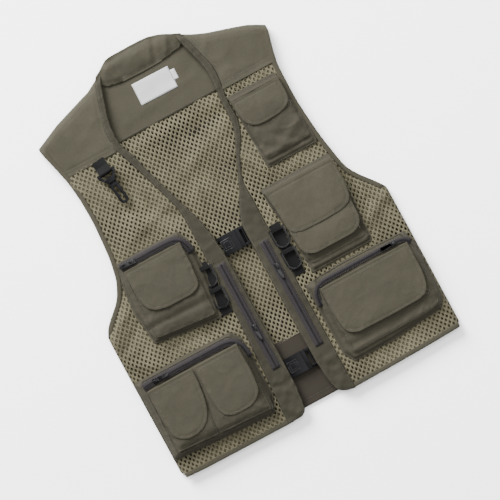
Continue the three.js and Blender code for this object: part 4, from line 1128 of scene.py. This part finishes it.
coil_nylon = mould("coil_nylon", (0.004, 0.0036, 0.004), (0.008, 0.0074, 0.008), 0.5, 0.06)
black_plastic = mould("black_plastic", (0.0008, 0.0008, 0.0011), (0.0030, 0.0030, 0.0038), 0.48, 0.07)
painted_metal = mould("painted_metal", (0.0015, 0.0014, 0.0015), (0.010, 0.0095, 0.010), 0.3, 0.12)

TOOTH_PITCH = 1.7
TOOTH = (0.62, 2.1, 0.75)  # half sizes along the zip, across it and up
TOOTH_LEAN = 0.22  # every other tooth leans the other way
COIL_RISE = 0.85
TAPE_ROW = 0.9  # how far in the edges of a tape are stitched


def zip_along(name, line, half_width):
    """A tape along the line, with a coil of single teeth down its middle."""
    bm = bmesh.new()
    section = [(-half_width, -0.35), (-half_width, 0.35), (-2.6, 0.55), (-1.2, 0.9), (1.2, 0.9), (2.6, 0.55),
               (half_width, 0.35), (half_width, -0.35)]
    stops = finely(line, 5)
    run_along(bm, stops, section)
    tape = finish_piece(bm, name + "_tape", zip_tape)
    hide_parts(name)
    bm = bmesh.new()
    single = one_bead(bmesh.ops.create_uvsphere, u_segments=6, v_segments=4)
    walked = walk(stops)
    for count, mark in enumerate(np.arange(2, walked[-1] - 2, TOOTH_PITCH)):
        place = Vector([np.interp(mark, walked, stops[:, k]) for k in range(3)])
        ahead = Vector([np.interp(mark + 1, walked, stops[:, k]) for k in range(3)]) - place
        ahead.normalize()
        lean = TOOTH_LEAN if count % 2 else -TOOTH_LEAN
        across = (Vector((0, 0, 1)).cross(ahead) + ahead * lean).normalized()
        set_down(bm, single, place + Vector((0, 0, COIL_RISE)),
                 ahead * TOOTH[0], across * TOOTH[1], ahead.cross(across) * TOOTH[2])
    bpy.data.meshes.remove(single)
    finish_piece(bm, name + "_coil", coil_nylon)

    def tape_lie(x, y, way_in):
        nearest = np.argmin((stops[:, 0] - x) ** 2 + (stops[:, 1] - y) ** 2)
        return float(stops[nearest, 2])

    flat_run = np.array(line, float)[:, :2]
    rows = shifted(flat_run, half_width - TAPE_ROW), shifted(flat_run, TAPE_ROW - half_width)
    topstitch(name + "_stitching", rows, tape_lie, np.vstack([rows[0], rows[1][::-1]]), lift=0.42)


zip_along("right_chest_zip",
          [(-201, 23, 31.5), (-150, 23.2, 31.5), (-105, 23.0, 31.5), (-92, 21, 31.1), (-83, 13, 29.6),
           (-78.5, 2, 27), (-77, -12, 24.5)], half_width=7.2)
zip_along("right_lower_zip",
          [(-266, -182, 33.1), (-255, -180, 33.5), (-180, -180, 33.5), (-105, -180.5, 33.5),
           (-92, -183, 33.2), (-82, -191, 31.6), (-77, -204, 28.6), (-76, -222, 26.0)], half_width=7.4)
zip_along("left_lower_zip",
          [(78, -205, 25.8), (79, -186, 28), (86, -173, 31.6), (98, -167.5, 33.4), (180, -167, 33.6),
           (250, -167, 33.6), (264, -170, 33.0), (271, -180, 30.5)], half_width=5.2)
for side, x in (("right", -ZIP_OUT), ("left", ZIP_OUT)):
    zip_along(f"{side}_placket_zip",
              [(x, y, placket_lie(x, y, 20) + 1.35) for y in np.linspace(-54, -264, 24)], half_width=8.4)


def moulded(node, finish, width=0.35, segments=2, stouter=0.0):
    """A CAD part with its loose triangles joined and every hard edge rounded off, as moulding leaves it."""
    source = frame["nodes"][node]
    bm = bmesh.new()
    bm.from_mesh(source.data)
    bmesh.ops.remove_doubles(bm, verts=bm.verts, dist=1e-6)
    bmesh.ops.dissolve_limit(bm, angle_limit=math.radians(1), verts=bm.verts, edges=bm.edges)
    bmesh.ops.scale(bm, vec=(1 / MM, 1 / MM, 1 / MM), verts=bm.verts)
    for v in bm.verts:
        v.co += v.normal * stouter
    piece = finish_piece(bm, node + "_moulded", finish, source["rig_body"])
    edge = piece.modifiers.new("edge", "BEVEL")
    edge.width = width * MM
    edge.segments = segments
    edge.angle_limit = math.radians(32)
    edge.harden_normals = True
    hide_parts(node)


for name in ("right_chest_zip", "right_lower_zip", "left_lower_zip", "right_placket_zip", "left_placket_zip"):
    moulded(f"{name}_slider", painted_metal)
    moulded(f"{name}_puller", painted_metal, width=0.3)

# ---- Buckles -------------------------------------------------------------------------------------
# Two moulded side-release buckles join the plackets. The socket takes the plug's prong and its two
# press arms; each half is held by webbing folded through its bar and sewn under the placket.

# The socket frames are a lighter copy of the black plastic: painted highlight for the light outlines along
# their edges, with random rubbed patches over it.
rubbed_highlight_plastic = mould("rubbed_highlight_plastic", (0.0035, 0.0035, 0.004), (0.014, 0.014, 0.0155), 0.28, 0.2)
webbing = weave_tape("black_webbing", (0.002, 0.002, 0.002), (0.007, 0.0069, 0.0073), 150.0, 0.8)
SOCKET_MIDDLE = -15.5
SOCKET_FRAMES = ((9.2, 1.3, 12.4, 0.7), (5.6, 1.0, 12.35, 0.5))  # half size, width, level and rise


def buckle_face(place, y):
    """The raised square frame on the socket and its inner pad."""
    bm = bmesh.new()
    for half, wide, level, rise in SOCKET_FRAMES:
        corners = [(-half, -half), (half, -half), (half, half), (-half, half)]
        stops = [(x + SOCKET_MIDDLE, v + y, level) for x, v in rounded(corners, (1.5,) * 4)]
        run_along(bm, stops + stops[:1], [(-wide / 2, -0.4), (-wide / 2, rise * 0.7), (0, rise),
                                          (wide / 2, rise * 0.7), (wide / 2, -0.4)])
    raised = finish_piece(bm, f"{place}_buckle_socket_frame", rubbed_highlight_plastic)
    raised.data.shade_flat()


for place, y in (("upper", -30), ("lower", -275)):
    buckle_face(place, y)
    for part in ("socket", "plug", "upper_press_arm", "lower_press_arm"):
        moulded(f"{place}_buckle_{part}", black_plastic, width=0.55, segments=3)
    for part in ("socket", "plug"):
        moulded(f"{place}_{part}_strap", webbing, width=0.3)

# ---- D-rings -------------------------------------------------------------------------------------
# Two moulded D-rings hang on a webbing tape at each placket, one below the other, for tools and leads.
# Each turns about its own straight bar, which the folded tape holds.

ring_plastic = mould("ring_plastic", (0.0009, 0.0009, 0.0011), (0.0032, 0.0032, 0.0038), 0.27, 0.09)
for side in ("right", "left"):
    moulded(f"{side}_ring_tape", webbing, width=0.3)
    for place in ("upper", "lower"):
        moulded(f"{side}_{place}_d_ring", ring_plastic, width=0.8, segments=3)

# ---- Snap hook -----------------------------------------------------------------------------------
# A moulded nylon snap hook hangs from a short webbing strap sewn under the right yoke. Its frame
# swings on the strap, the hook turns in the frame, and the gate is sprung shut.

moulded("snap_hook_strap", webbing, width=0.3)
for part in ("frame", "body", "gate"):
    moulded(f"snap_hook_{part}", black_plastic, width=0.7, segments=3, stouter=0.6)

import json
